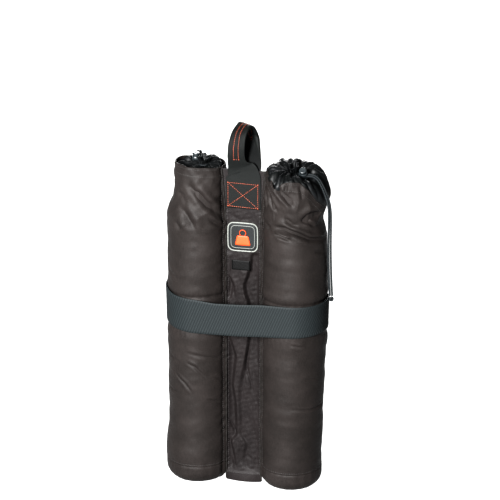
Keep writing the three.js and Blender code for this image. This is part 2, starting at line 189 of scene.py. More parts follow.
def curve_through(points, steps):
    """Points along a smooth centripetal curve through the given ones, ends included."""
    p = np.array(points, float)
    p = np.vstack([2 * p[0] - p[1], p, 2 * p[-1] - p[-2]])
    out = []
    for k in range(1, len(p) - 2):
        a, b, c, d = p[k - 1 : k + 3]
        t = np.cumsum([0, *[max(np.linalg.norm(y - x), 1e-6) ** 0.5 for x, y in ((a, b), (b, c), (c, d))]])
        for s in np.linspace(t[1], t[2], steps, endpoint=False):
            ab = (t[1] - s) / (t[1] - t[0]) * a + (s - t[0]) / (t[1] - t[0]) * b
            bc = (t[2] - s) / (t[2] - t[1]) * b + (s - t[1]) / (t[2] - t[1]) * c
            cd = (t[3] - s) / (t[3] - t[2]) * c + (s - t[2]) / (t[3] - t[2]) * d
            abc = (t[2] - s) / (t[2] - t[0]) * ab + (s - t[0]) / (t[2] - t[0]) * bc
            bcd = (t[3] - s) / (t[3] - t[1]) * bc + (s - t[1]) / (t[3] - t[1]) * cd
            out.append((t[2] - s) / (t[2] - t[1]) * abc + (s - t[1]) / (t[2] - t[1]) * bcd)
    return np.array([*out, p[-2]])


def run_along(line):
    """Distance from the start at each point of a line."""
    return np.concatenate([[0], np.cumsum(np.linalg.norm(np.diff(line, axis=0), axis=1))])


def frames_along(line, hint):
    """Unit tangent and two unit normals at each point, the first normal as near hint as it can be."""
    tangent = np.gradient(line, axis=0)
    tangent /= np.linalg.norm(tangent, axis=1, keepdims=True)
    first = np.broadcast_to(np.array(hint, float), line.shape)
    first = first - (first * tangent).sum(1, keepdims=True) * tangent
    first /= np.linalg.norm(first, axis=1, keepdims=True)
    return tangent, first, np.cross(tangent, first)


def bar(name, line, radius, sides=12, hint=(0, 1, 0), flat=1.0):
    """A closed bar along a line; radius may change along it, and flat squashes its second normal."""
    _, first, second = frames_along(line, hint)
    angles = np.arange(sides) * 2 * np.pi / sides
    radius = np.broadcast_to(radius, len(line))[:, None, None]
    upwards = flat * np.sin(angles)[None, :, None] * second[:, None]
    spoke = np.cos(angles)[None, :, None] * first[:, None] + upwards
    points = line[:, None] + radius * spoke
    around = np.arange(sides + 1) * 2 * np.pi / sides
    run = run_along(line)
    uv = np.stack(np.broadcast_arrays(around[None] * radius.max(), run[:, None]), axis=-1)
    piece = grid_piece(name, points, uv, ring=True, ends=True)
    face_outwards(piece)
    return piece

# %% [markdown]
# ## The drawcords
# Each throat is drawn in by one 3 mm braided cord. Its two free strands leave the throat, pass
# through a cord lock, fall down the outside of a tube and end in one overhand knot. The route is
# the one the CAD model settled: over the gathered nylon, then straight down under its own weight.
# The strands are swept as round tubes with UVs, so that the braid can follow them.

# %% Strands
CORD_D = 3.0
STRAND_OFFSET = 1.7
RIGHT_ROUTE = [
    (77, -4, 476), (84, -4, 476), (92, -4, 476), (99, -4, 475.6), (105.5, -4.6, 471.4), (111.5, -5.6, 462.5),
    (116.5, -6.2, 451.5), (120.4, -6, 440), (122.4, -5.2, 427), (122.8, -4.4, 408), (122.4, -3.6, 385),
    (122.4, -2.8, 360), (122.8, -1.8, 335), (123.6, -0.8, 314), (124.3, 0, 297),
]
LEFT_ROUTE = [
    (-77, 7.8, 480), (-77, 15, 480), (-77, 22, 480), (-77, 26.8, 481), (-77.2, 30.2, 484.2),
    (-77.4, 34.6, 486.4), (-77.8, 39.4, 484), (-78.2, 42.3, 476), (-78.6, 44.6, 462), (-79, 47.2, 440),
    (-79, 49.2, 415), (-78.6, 50, 390), (-78, 50, 362), (-77.4, 50.4, 336), (-77, 51, 319), (-77, 51.6, 304),
]
LOCK_TILT = math.radians(30)
STRAND_SIDES = {
    "right": ((0, math.cos(LOCK_TILT), math.sin(LOCK_TILT)), (1, 0.15, 0)),
    "left": ((1, 0, 0), (1, 0.1, 0)),
}
drawn_cords = []


def strand_line(route, start, end, sign):
    start, end = Vector(start), Vector(end)
    points = []
    for i, place in enumerate(route):
        t = min(max((i - 3) / (len(route) - 5), 0), 1)
        points.append(Vector(place) + sign * STRAND_OFFSET * start.lerp(end, t).normalized())
    return curve_through([tuple(p) for p in points], 9)


def knot_line(low):
    """A tight overhand knot: three lobes wound round the strand's axis, in mm, below the point low."""
    turn = np.linspace(0, 2 * np.pi, 90)
    reach = 1.9 + 0.9 * np.cos(3 * turn)
    x = reach * np.cos(2 * turn)
    y = reach * np.sin(2 * turn)
    z = 1.9 * np.sin(3 * turn)
    return np.stack([x, y, z], axis=1)[:-1] + np.array(low) - (0, 0, 5)


for side, route in (("right", RIGHT_ROUTE), ("left", LEFT_ROUTE)):
    knot_path = knot_line(route[-1])
    closed = np.vstack([knot_path, knot_path[:1]])
    knot = bar(side + "_overhand_knot", closed, 1.35, sides=10, hint=(0, 0, 1))
    for letter, sign in (("a", 1), ("b", -1)):
        line = strand_line(route, *STRAND_SIDES[side], sign)
        cord = bar(f"{side}_cord_{letter}", line, CORD_D / 2, sides=14, hint=(0, 1, 0.3))
        drawn_cords.append((cord, side, letter, line, knot))
        print(cord.name, "is", round(run_along(line)[-1]), "mm long")

# %% [markdown]
# ## Materials
# A shader is a small tree. One helper adds a node with its settings and its links, so a material
# reads as a list of steps. Colours are written as the hex values a colour picker shows, and one
# function turns them into the linear values that the renderer wants.

# %% Node and colour helpers
def linear(hex_code):
    parts = [int(hex_code[i : i + 2], 16) / 255 for i in (1, 3, 5)]
    return (*[p / 12.92 if p <= 0.04045 else ((p + 0.055) / 1.055) ** 2.4 for p in parts], 1)


def add(tree, kind, settings=None, links=None):
    node = tree.nodes.new(kind)
    for key, value in (settings or {}).items():
        if isinstance(key, int) or key in node.inputs:
            node.inputs[key].default_value = value
        else:
            setattr(node, key, value)
    for key, source in (links or {}).items():
        tree.links.new(source, node.inputs[key])
    return node


def new_material(name, **shader_settings):
    """An empty material with its shader; returns the material, its tree and the shader."""
    material = bpy.data.materials.new(name)
    material.use_nodes = True
    tree = material.node_tree
    tree.nodes.clear()
    shader = add(tree, "ShaderNodeBsdfPrincipled", shader_settings)
    output = add(tree, "ShaderNodeOutputMaterial")
    tree.links.new(shader.outputs["BSDF"], output.inputs["Surface"])
    return material, tree, shader


def mix_colours(tree, factor, first, second):
    """Mixes two hex colours, or sockets, by a factor socket."""
    node = add(tree, "ShaderNodeMix", {"data_type": "RGBA"}, {0: factor})
    for index, colour in ((6, first), (7, second)):
        if isinstance(colour, str):
            node.inputs[index].default_value = linear(colour)
        else:
            tree.links.new(colour, node.inputs[index])
    return node.outputs[2]


def range_of(tree, value, low, high, to_low=0.0, to_high=1.0):
    settings = {"From Min": low, "From Max": high, "To Min": to_low, "To Max": to_high}
    return add(tree, "ShaderNodeMapRange", settings, {"Value": value}).outputs["Result"]


def threads(tree, coordinates, pitch_x_mm, pitch_y_mm):
    """A plain weave's height, from 0 to 1: two sines multiplied, over coordinates in metres."""
    pitch = (2 * math.pi / (pitch_x_mm * MM), 2 * math.pi / (pitch_y_mm * MM), 1)
    scaled = add(tree, "ShaderNodeVectorMath", {"operation": "MULTIPLY", 1: pitch}, {0: coordinates})
    wave = add(tree, "ShaderNodeVectorMath", {"operation": "SINE"}, {0: scaled.outputs[0]})
    split = add(tree, "ShaderNodeSeparateXYZ", {}, {0: wave.outputs[0]})
    product = add(tree, "ShaderNodeMath", {"operation": "MULTIPLY"},
                  {0: split.outputs[0], 1: split.outputs[1]})
    return range_of(tree, product.outputs[0], -1, 1)


# %% [markdown]
# ## Woven finishes
# The sleeves are 600-denier polyester with a coated back: a warm dark grey with a soft sheen, slubs
# along the yarn and chalky dust on the high folds. The web is the same cloth. The real yarns lie
# about half a millimetre apart, too fine to hold at this distance, so they are drawn 1.1 mm apart.

# %% Coated polyester
def coated_polyester(name, dark, light, roughness):
    material, tree, shader = new_material(
        name, **{"Roughness": roughness, "Specular IOR Level": 0.08})
    uv = add(tree, "ShaderNodeTexCoord").outputs["UV"]
    place = add(tree, "ShaderNodeTexCoord").outputs["Object"]
    weave = threads(tree, uv, 1.1, 1.1)
    cloud = add(tree, "ShaderNodeTexNoise", {"Scale": 26, "Detail": 3}, {"Vector": place})
    slub_place = add(tree, "ShaderNodeVectorMath", {"operation": "MULTIPLY", 1: (1, 0.12, 1)}, {0: uv})
    slub = add(tree, "ShaderNodeTexNoise", {"Scale": 900, "Detail": 2}, {"Vector": slub_place.outputs[0]})
    speck = add(tree, "ShaderNodeTexNoise", {"Scale": 620, "Detail": 3}, {"Vector": uv})
    tone = add(tree, "ShaderNodeMath", {"operation": "ADD"}, {
        0: range_of(tree, cloud.outputs[0], 0.35, 0.65, 0, 0.45),
        1: range_of(tree, slub.outputs[0], 0.3, 0.7, 0, 0.35)})
    tone = add(tree, "ShaderNodeMath", {"operation": "ADD", "use_clamp": True}, {
        0: tone.outputs[0], 1: range_of(tree, speck.outputs[0], 0.35, 0.65, -0.12, 0.3)})
    colour = mix_colours(tree, tone.outputs[0], dark, light)
    tree.links.new(colour, shader.inputs["Base Color"])
    wrinkle = add(tree, "ShaderNodeTexNoise", {"Scale": 95, "Detail": 2}, {"Vector": place})
    rough = range_of(tree, weave, 0, 1, roughness - 0.08, roughness + 0.08)
    tree.links.new(rough, shader.inputs["Roughness"])
    soft = add(tree, "ShaderNodeBump", {"Strength": 0.25, "Distance": 0.0012}, {"Height": wrinkle.outputs[0]})
    fine = add(tree, "ShaderNodeBump", {"Strength": 0.35, "Distance": 0.0002},
               {"Height": weave, "Normal": soft.outputs["Normal"]})
    tree.links.new(fine.outputs["Normal"], shader.inputs["Normal"])
    return material


sleeve_cloth = coated_polyester("coated_polyester_sleeve", "#131110", "#1e1b1a", 0.55)
web_cloth = coated_polyester("coated_polyester_web", "#0f0d0d", "#181515", 0.55)
hem_cloth = coated_polyester("bound_polyester_edge", "#100f0e", "#1a1817", 0.62)

# %% [markdown]
# Webbing is woven in thick yarns, so it has ribs rather than a grain. The strap is ribbed
# polypropylene with a slate cast and the handle is flat nylon, woven tighter and darker. Ribs that
# show at this size are real shape on the strap; the rest is a weave in the bump. The strap's colour
# also carries painted shade in the grooves between the ribs. The inside of the handle's loop gets
# little light, so a near-black webbing of its own paints that shade on.

# %% Webbing
def webbing(name, dark, light, pitch_x, pitch_y, roughness, groove_shade_pitch_mm=None):
    material, tree, shader = new_material(
        name, **{"Roughness": roughness, "Specular IOR Level": 0.1})
    uv = add(tree, "ShaderNodeTexCoord").outputs["UV"]
    weave = threads(tree, uv, pitch_x, pitch_y)
    fuzz = add(tree, "ShaderNodeTexNoise", {"Scale": 750, "Detail": 3}, {"Vector": uv})
    tone = add(tree, "ShaderNodeMath", {"operation": "ADD", "use_clamp": True}, {
        0: range_of(tree, weave, 0, 1, 0, 0.7), 1: range_of(tree, fuzz.outputs[0], 0.3, 0.7, -0.2, 0.35)})
    colour = mix_colours(tree, tone.outputs[0], dark, light)
    if groove_shade_pitch_mm:
        # painted shade: the colour is darker in the grooves between the ribs, where little light reaches
        turns = add(tree, "ShaderNodeVectorMath", {"operation": "SCALE",
                                                   "Scale": 2 * math.pi / (groove_shade_pitch_mm * MM)}, {0: uv})
        split = add(tree, "ShaderNodeSeparateXYZ", {}, {0: turns.outputs[0]})
        rib = add(tree, "ShaderNodeMath", {"operation": "SINE"}, {0: split.outputs[0]})
        colour = mix_colours(tree, range_of(tree, rib.outputs[0], -1, 0.6), dark, colour)
    tree.links.new(colour, shader.inputs["Base Color"])
    rough = range_of(tree, fuzz.outputs[0], 0.3, 0.7, roughness - 0.08, roughness + 0.08)
    tree.links.new(rough, shader.inputs["Roughness"])
    bump = add(tree, "ShaderNodeBump", {"Strength": 0.5, "Distance": 0.0003}, {"Height": weave})
    tree.links.new(bump.outputs["Normal"], shader.inputs["Normal"])
    return material


# painted shade: the last number is the pitch of the darker grooves painted between the ribs
strap_webbing = webbing("ribbed_polypropylene_webbing", "#101314", "#222627", 1.9, 3.8, 0.6, 3.8)
handle_webbing = webbing("flat_nylon_webbing", "#070808", "#0d0f0e", 1.3, 1.7, 0.62)
# painted shade: a near-black webbing that stands in for the shade inside the handle's loop
loop_painted_shade = webbing("handle_fold_lining", "#030404", "#070808", 1.3, 1.7, 0.75)

# %% [markdown]
# The throats are thin calendered nylon: nearly black, smooth, with sharp satin highlights along each
# pleat. The cords are braided polyester: two sets of yarns cross at the same angle, which two
# slanted sines multiplied together give directly.

# %% Nylon and braid
def thin_nylon():
    material, tree, shader = new_material(
        "calendered_black_nylon", **{"Roughness": 0.5, "Specular IOR Level": 0.13})
    place = add(tree, "ShaderNodeTexCoord").outputs["Object"]
    uv = add(tree, "ShaderNodeTexCoord").outputs["UV"]
    cloud = add(tree, "ShaderNodeTexNoise", {"Scale": 60, "Detail": 3}, {"Vector": place})
    colour = mix_colours(tree, range_of(tree, cloud.outputs[0], 0.35, 0.65), "#050606", "#0c0d0e")
    tree.links.new(colour, shader.inputs["Base Color"])
    weave = threads(tree, uv, 0.8, 0.8)
    crumple = add(tree, "ShaderNodeTexNoise", {"Scale": 260, "Detail": 3, "Distortion": 0.6},
                  {"Vector": place})
    tree.links.new(range_of(tree, crumple.outputs[0], 0.3, 0.7, 0.42, 0.56), shader.inputs["Roughness"])
    soft = add(tree, "ShaderNodeBump", {"Strength": 0.35, "Distance": 0.0008}, {"Height": crumple.outputs[0]})
    fine = add(tree, "ShaderNodeBump", {"Strength": 0.2, "Distance": 0.0001},
               {"Height": weave, "Normal": soft.outputs["Normal"]})
    tree.links.new(fine.outputs["Normal"], shader.inputs["Normal"])
    return material


def braided_cord():
    material, tree, shader = new_material(
        "braided_polyester_cord", **{"Roughness": 0.6, "Specular IOR Level": 0.2})
    uv = add(tree, "ShaderNodeTexCoord").outputs["UV"]
    turned = add(tree, "ShaderNodeMapping", {"Rotation": (0, 0, math.radians(45))}, {"Vector": uv})
    braid = threads(tree, turned.outputs[0], 1.33, 1.33)
    tree.links.new(mix_colours(tree, braid, "#07090a", "#14181a"), shader.inputs["Base Color"])
    tree.links.new(range_of(tree, braid, 0, 1, 0.7, 0.5), shader.inputs["Roughness"])
    bump = add(tree, "ShaderNodeBump", {"Strength": 0.8, "Distance": 0.0004}, {"Height": braid})
    tree.links.new(bump.outputs["Normal"], shader.inputs["Normal"])
    return material


throat_nylon = thin_nylon()
drawcord_braid = braided_cord()

# %% [markdown]
# Small finishes: the cord locks are moulded acetal with a fine spark-eroded grain; the thread is
# bonded nylon, orange on the handle and black on the seams; the sand is washed and dry; and the
# closure is hook and loop tape, a dull black pile with fibres too fine to model one by one.

# %% Moulded plastic, thread, sand, pile and steel
def speckled(name, dark, light, scale, bump_mm, strength, **shader_settings):
    """A finish whose colour, roughness and height follow one noise with grains of 1/scale metres."""
    material, tree, shader = new_material(name, **shader_settings)
    place = add(tree, "ShaderNodeTexCoord").outputs["Object"]
    grain = add(tree, "ShaderNodeTexNoise", {"Scale": scale, "Detail": 4, "Roughness": 0.6},
                {"Vector": place})
    colour = mix_colours(tree, range_of(tree, grain.outputs[0], 0.35, 0.65), dark, light)
    tree.links.new(colour, shader.inputs["Base Color"])
    base = shader_settings["Roughness"]
    tree.links.new(range_of(tree, grain.outputs[0], 0.3, 0.7, base - 0.06, base + 0.06),
                   shader.inputs["Roughness"])
    settings = {"Strength": strength, "Distance": bump_mm * MM}
    bump = add(tree, "ShaderNodeBump", settings, {"Height": grain.outputs[0]})
    tree.links.new(bump.outputs["Normal"], shader.inputs["Normal"])
    return material


acetal = speckled("moulded_acetal", "#15191a", "#1e2224", 1400, 0.05, 0.4, Roughness=0.38)
spring_steel = speckled("drawn_spring_steel", "#8d8f92", "#a4a6a9", 900, 0.03, 0.3, Roughness=0.3,
                        Metallic=1.0)
orange_thread = speckled("orange_bonded_thread", "#6e2a10", "#8a3c1c", 1600, 0.08, 0.5, Roughness=0.5)
black_thread = speckled("black_bonded_thread", "#0e0d0d", "#1d1b1a", 1600, 0.08, 0.5, Roughness=0.55)
dry_sand = speckled("washed_dry_sand", "#9c8458", "#cdb583", 900, 0.8, 0.9, Roughness=0.9)
loop_pile = speckled("nylon_loop_pile", "#0d0e0f", "#212325", 1100, 0.9, 1.0, Roughness=0.9)
hook_pile = speckled("nylon_hook_tape", "#111214", "#26292b", 700, 0.7, 1.0, Roughness=0.7)
print(len(bpy.data.materials), "materials")

# %% Dress the cords
def dress(piece, material, body="root", slot=None, *nodes):
    """Gives a piece its material and body, and hides the CAD nodes that it stands for. slot is not used."""
    piece.data.materials.clear()
    piece.data.materials.append(material)
    if body:
        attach(piece, body)
    if nodes:
        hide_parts(*nodes)
    return piece


for cord, side, letter, line, knot in drawn_cords:
    dress(cord, drawcord_braid, "root", "drawcord", f"{side}_drawcord_{letter}")
    dress(knot, drawcord_braid, "root", "drawcord", side + "_cord_knot")

# %% [markdown]
# ## The sleeves
# A filled sleeve is a tube that the sand holds round, narrows above the sand, and is creased where
# the cloth had to fold. Its outline is read from short tables: the axis and the radius by height,
# and the height of the rim by direction. Directions are degrees about the tube's axis, with 0 along
# +X and -90 at the front. In a table, every number of the shape is a measure.

# %% Outline tables
BASE_SEAM_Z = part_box("right_base_panel")[1].z / MM
STRAP_LOW, STRAP_HIGH = (corner.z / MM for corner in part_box("strap_band"))
TUBES = {
    "left": {
        "x": [(0, -71.4), (45, -71.4), (80, -69.8), (110, -69.2), (150, -69.4), (395, -69.4),
              (421, -68.2), (437, -65.6), (452, -65.4), (486, -65.5)],
        "y": [(0, 0), (395, 0), (430, -2), (486, -5)],
        "radius": [(0, 47.6), (45, 47.6), (75, 46.0), (110, 45.0), (200, 45.3), (380, 45.6),
                   (403, 46.0), (421, 42.0), (437, 38.3), (452, 36.6), (486, 34)],
        "rim": [(-180, 485), (-90, 483.5), (-20, 482), (0, 482), (90, 481.5), (180, 485)],
        "seam": [(0, -20), (395, -20), (480, -13)],
    },
    "right": {
        "x": [(0, 67.6), (60, 68.2), (182, 69.7), (298, 71.8), (351, 71.6), (388, 70.4),
              (404, 68.8), (416, 68.2), (430, 69.4), (460, 70), (482, 70.4)],
        "y": [(0, 0), (395, 0), (430, -1), (482, -1)],
        "radius": [(0, 43.3), (60, 44), (182, 45.6), (298, 47.2), (351, 47.0), (388, 45.8),
                   (404, 43.4), (416, 41.8), (430, 43.6), (445, 42.6), (460, 41), (482, 38.6)],
        "rim": [(-180, 480), (-160, 481), (-136, 474), (-118, 462), (-102, 473), (-88, 475.5),
                (-66, 474), (-45, 461), (-28, 445), (0, 429), (25, 436), (50, 455), (75, 466),
                (100, 472), (140, 478), (180, 480)],
        "seam": [(0, -160), (395, -160), (480, -162)],
    },
}


def around(theta, pairs, soften=4.0):
    """A table over directions in degrees, which joins up after a full turn."""
    turns = [(a + shift, v) for shift in (-360, 0, 360) for a, v in pairs[:-1]]
    last = (pairs[-1][0] + 360, pairs[-1][1])
    return table(theta, [*turns, last], soften)


def apart(theta, other):
    """Signed difference between two directions, from -180 to 180 degrees."""
    return (theta - other + 180) % 360 - 180


def tube_radius(side, theta, z):
    """The smooth radius, before creases."""
    radius = table(z, TUBES[side]["radius"])
    a = np.radians(theta)
    if side == "left":
        # the mouth is drawn out into a corner at its outer side and where it meets the web
        pointed = smoothstep(z, 432, 484)
        flat = np.where(np.sin(a) < 0, 0.07, 0.0) * np.sin(a) ** 2
        return radius * (1 + pointed * (0.07 * np.abs(np.cos(a)) ** 5 - flat))
    below_rim = around(theta, TUBES[side]["rim"]) - z
    outer = np.exp(-((apart(theta, 2) / 48) ** 2))
    return radius + 3.4 * outer * np.exp(-((below_rim / 9) ** 2))


def tube_axis(side, z):
    return table(z, TUBES[side]["x"]), table(z, TUBES[side]["y"])


# %% [markdown]
# A crease is a valley along a short polyline over the cloth, tapered at its ends, with the cloth
# raised beside it. Sculpting them as listed lines keeps the large folds where the cloth really
# folded, and random ripples are only left to fill the quiet areas between.

# %% Creases
def crease(theta, z, path, depth, width, above=0.5, below=0.3, girth=45):
    """Height in mm of one crease: negative in the valley, positive on its shoulders."""
    spots = np.array([(math.radians(t) * girth, h) for t, h in path], float)
    lengths = np.linalg.norm(np.diff(spots, axis=0), axis=1)
    starts = np.concatenate([[0], np.cumsum(lengths)])
    u = np.radians(apart(theta, path[0][0])) * girth + spots[0, 0]
    nearest = np.full(np.shape(z), 1e9)
    signed = np.zeros_like(nearest)
    along = np.zeros_like(nearest)
    for (ax, az), (bx, bz), length, start in zip(spots[:-1], spots[1:], lengths, starts):
        tx, tz = (bx - ax) / length, (bz - az) / length
        t = np.clip((u - ax) * tx + (z - az) * tz, 0, length)
        dx, dz = u - ax - t * tx, z - az - t * tz
        distance = np.hypot(dx, dz)
        closer = distance < nearest
        nearest = np.where(closer, distance, nearest)
        signed = np.where(closer, distance * np.sign(tx * dz - tz * dx), signed)
        along = np.where(closer, (start + t) / starts[-1], along)
    taper = 1 - np.abs(2 * along - 1) ** 3
    swing = 0.5 + 0.5 * taper
    valley = -np.exp(-np.abs(signed / width) ** 1.5)
    top = above * np.exp(-(((signed - 2.1 * width) / (1.3 * width)) ** 2))
    low = below * np.exp(-(((signed + 2.1 * width) / (1.3 * width)) ** 2))
    return depth * taper * swing * (valley + top + low)


FOLD_DEPTH = 1.75
CREASES = {
    "left": [
        ([(-108, 459), (-81, 446), (-58, 431), (-26, 411)], 3.0, 4.2, 0.55, 0.25),
        ([(-124, 426), (-107, 420), (-91, 407), (-78, 394)], 2.2, 4.6, 0.5, 0.3),
        ([(-124, 405), (-108, 393)], 1.4, 3.6, 0.5, 0.4),
        ([(-60, 413), (-42, 402), (-27, 396)], 1.2, 2.4, 0.6, 0.3),
        ([(-140, 447), (-120, 441), (-104, 432)], 1.1, 3.2, 0.5, 0.3),
        ([(-102, 193), (-84, 186), (-64, 169)], 0.9, 1.7, 0.6, 0.4),
        ([(-130, 175), (-103, 159), (-88, 144)], 1.1, 1.8, 0.6, 0.4),
        ([(-152, 144), (-112, 141)], 0.8, 1.6, 0.5, 0.4),
        ([(-64, 135), (-28, 126)], 0.8, 1.6, 0.5, 0.4),
        ([(-103, 208), (-28, 194)], 0.7, 2.0, 0.5, 0.4),
        ([(-140, 196), (-112, 190)], 0.6, 1.7, 0.5, 0.4),
        ([(-50, 170), (-28, 160)], 0.6, 1.7, 0.5, 0.4),
        ([(-160, 330), (-118, 318), (-95, 321)], 0.6, 3.2, 0.5, 0.4),
        ([(60, 300), (95, 312), (140, 306)], 0.8, 3.0, 0.5, 0.4),
        ([(40, 420), (80, 408), (120, 416)], 2.2, 4.0, 0.5, 0.3),
        ([(110, 452), (140, 438), (165, 440)], 1.6, 3.2, 0.5, 0.3),
        ([(70, 160), (120, 150)], 0.8, 2.0, 0.5, 0.4),
    ],
    "right": [
        ([(-122, 478), (-110, 463), (-94, 454), (-76, 440)], 2.8, 2.8, 0.25, 0.75),
        ([(-133, 452), (-120, 440), (-108, 430)], 1.6, 2.4, 0.4, 0.5),
        ([(-148, 462), (-139, 446), (-136, 430)], 1.1, 2.2, 0.4, 0.5),
        ([(-62, 418), (-43, 426), (-12, 424)], 3.6, 4.4, 0.35, 0.35),
        ([(-60, 420), (-30, 409)], 1.6, 2.2, 0.3, 0.5),
        ([(-124, 409), (-93, 407), (-69, 400), (-46, 391), (4, 383)], 3.0, 3.1, 0.65, 0.3),
        ([(-116, 398), (-82, 392)], 2.6, 1.7, 0.9, 0.3),
        ([(-144, 408), (-125, 404)], 1.2, 2.2, 0.5, 0.3),
        ([(-96, 424), (-78, 414), (-66, 412)], 1.5, 2.8, 0.5, 0.3),
        ([(-93, 474), (-95, 458)], 1.0, 2.2, 0.4, 0.4),
        ([(-66, 473), (-60, 450)], 1.0, 2.4, 0.4, 0.4),
        ([(-84, 234), (-60, 229)], 0.8, 1.6, 0.5, 0.4),
        ([(14, 132), (-40, 130), (-84, 134)], 0.8, 1.6, 0.5, 0.4),
        ([(-40, 372), (-8, 366)], 0.8, 2.2, 0.5, 0.4),
        ([(-60, 180), (-20, 176)], 0.5, 1.8, 0.5, 0.4),
        ([(30, 420), (70, 404), (110, 410)], 2.4, 4.0, 0.5, 0.3),
        ([(60, 440), (100, 428), (150, 438)], 1.8, 3.4, 0.5, 0.3),
        ([(70, 330), (120, 322)], 0.8, 3.0, 0.5, 0.4),
        ([(60, 150), (110, 142)], 0.8, 2.0, 0.5, 0.4),
    ],
}


def sleeve_relief(side, theta, z):
    """Everything that moves the cloth in or out of the smooth tube, in mm."""
    a = np.radians(theta)
    seed = 5 if side == "left" else 17
    place = np.stack([45 * np.cos(a), 45 * np.sin(a), z], axis=-1)
    neck = smoothstep(z, 372, 412)
    relief = 0.55 * ripples(place, 85, seed) + 0.22 * ripples(place, 30, seed + 1, (0.4, 0.4, 1.3))
    relief += (0.10 + 0.22 * neck) * ripples(place, 15, seed + 2, (0.7, 0.7, 1.2))
    folds = ripples(place, 34, seed + 3, (1, 1, 0.75))
    relief += 0.55 * neck * (0.9 - 1.3 * np.abs(folds) ** 0.8)
    for path, depth, width, above, below in CREASES[side]:
        relief += FOLD_DEPTH * crease(theta, z, path, depth, width, above, below)
    # the seam draws the cloth up into small puckers
    seam = table(z, TUBES[side]["seam"], 10)
    from_seam = np.radians(np.abs(apart(theta, seam))) * 45
    phase = 2 * np.pi * (z + 5 * np.sin(z / 17 + seed) + 2 * np.sin(z / 6.3) + 0.5 * from_seam) / 12
    strength = 0.45 + 0.3 * np.sin(z / 23 + 2 * seed) + 0.25 * np.sin(z / 9.7 + seed)
    relief += strength * 0.8 * np.sin(phase) * np.exp(-((from_seam / 9) ** 1.5))
    relief += 0.9 * np.exp(-((from_seam / 2.2) ** 2)) - 0.8 * np.exp(-(((from_seam - 5.0) / 3.4) ** 2))
    # the strap squeezes the sand, which stands proud above and below it
    squeezed = smoothstep(z, STRAP_LOW - 5, STRAP_LOW + 3)
    squeezed = squeezed * (1 - smoothstep(z, STRAP_HIGH - 3, STRAP_HIGH + 5))
    relief = relief * (1 - 0.9 * squeezed) - 0.35 * squeezed
    relief -= 1.5 * np.exp(-(((z - STRAP_HIGH - 1.5) / 3) ** 2))
    for edge, away in ((STRAP_LOW, -1), (STRAP_HIGH, 1)):
        off = (z - edge) * away
        relief += 0.9 * np.exp(-(((off - 11) / 7) ** 2))
        relief += 0.16 * np.sin(theta * 0.5 + 3 * np.sin(theta / 17)) * np.exp(-((off / 10) ** 2)) * (off > 0)
    # gathers at the base seam, and the flat hem round the rim
    base = np.exp(-(((z - BASE_SEAM_Z) / 7) ** 2))
    relief += base * (0.2 * np.sin(theta * 0.42 + 2.6 * np.sin(theta / 23)) - 0.15)
    return relief


# %% Sleeve mesh
SLEEVE_COLUMNS = 256
OUTER_ROWS = 286
INNER_ROWS = 12
RIM_T = 2.2
turn = np.linspace(-180, 180, SLEEVE_COLUMNS + 1)


def sleeve_points(side, theta, z, relief):
    x, y = tube_axis(side, z)
    reach = tube_radius(side, theta, z) + relief
    a = np.radians(theta)
    return np.stack([x + reach * np.cos(a), y + reach * np.sin(a), z], axis=-1)


def make_sleeve(side):
    theta = turn[None, :-1]
    rim = around(theta, TUBES[side]["rim"], 3.0) + 0.5 * np.sin(np.radians(theta) * 5 + 1)
    share = np.linspace(0, 1, OUTER_ROWS)[:, None]
    low = BASE_SEAM_Z - 0.6
    z = low + (rim - low) * share
    theta = np.broadcast_to(theta, z.shape)
    relief = sleeve_relief(side, theta, z)
    # a double-stitched hem keeps the last 14 mm flatter, with a step at its lower edge
    hem = smoothstep(z, rim - 15, rim - 13)
    relief = relief + 0.35 * hem
    outer = sleeve_points(side, theta, z, relief)
    # roll over the rim: a half circle as thick as the folded hem
    roll_rows, inner_rows = [], []
    top_relief = relief[-1]
    top_theta = theta[-1]
    for angle in np.radians([40, 90, 140]):
        inwards = RIM_T / 2 * (1 - math.cos(angle))
        roll_rows.append(sleeve_points(side, top_theta, rim[0] + RIM_T / 2 * math.sin(angle),
                                       top_relief - inwards))
    for share_down in np.linspace(0, 1, INNER_ROWS) ** 1.6:
        z_row = rim[0] - share_down * (rim[0] - low)
        depth = RIM_T + 4.2 * smoothstep(share_down, 0.1, 0.25)
        follow = 1 - smoothstep(share_down, 0.02, 0.2)
        inner_rows.append(sleeve_points(side, top_theta, z_row, top_relief * follow - depth))
    inner_rows[-1] = sleeve_points(side, top_theta, np.full_like(rim[0], low), relief[0] - 1.4)
    points = np.concatenate([outer, roll_rows, inner_rows])
    run = np.concatenate([z[:, 0], [z[-1, 0] + k for k in (1, 2, 3)],
                          z[-1, 0] + 4 + np.linspace(0, 1, INNER_ROWS) * 450, [z[-1, 0] + 460]])
    uv = np.stack(np.broadcast_arrays(np.radians(turn)[None] * 45, run[:, None]), axis=-1)
    sleeve = grid_piece(side + "_tube_sleeve_cloth", points, uv, ring=True, torus=True)
    face_outwards(sleeve)
    dress(sleeve, sleeve_cloth, "root", "tube_fabric", side + "_tube_sleeve")
    return sleeve


sleeves = {side: make_sleeve(side) for side in TUBES}
for side, sleeve in sleeves.items():
    print(side, "sleeve", len(sleeve.data.polygons), "faces",
          [round(d * 1000) for d in sleeve.dimensions], "mm")

# %% [markdown]
# The base panel is a disc sewn on a little above the ground, so that the tube rounds under. It is
# a shell turned from one profile: inside from the middle out, over its edge, and back underneath.

# %% Base panels and sand
BASE_ROUND = 18.0


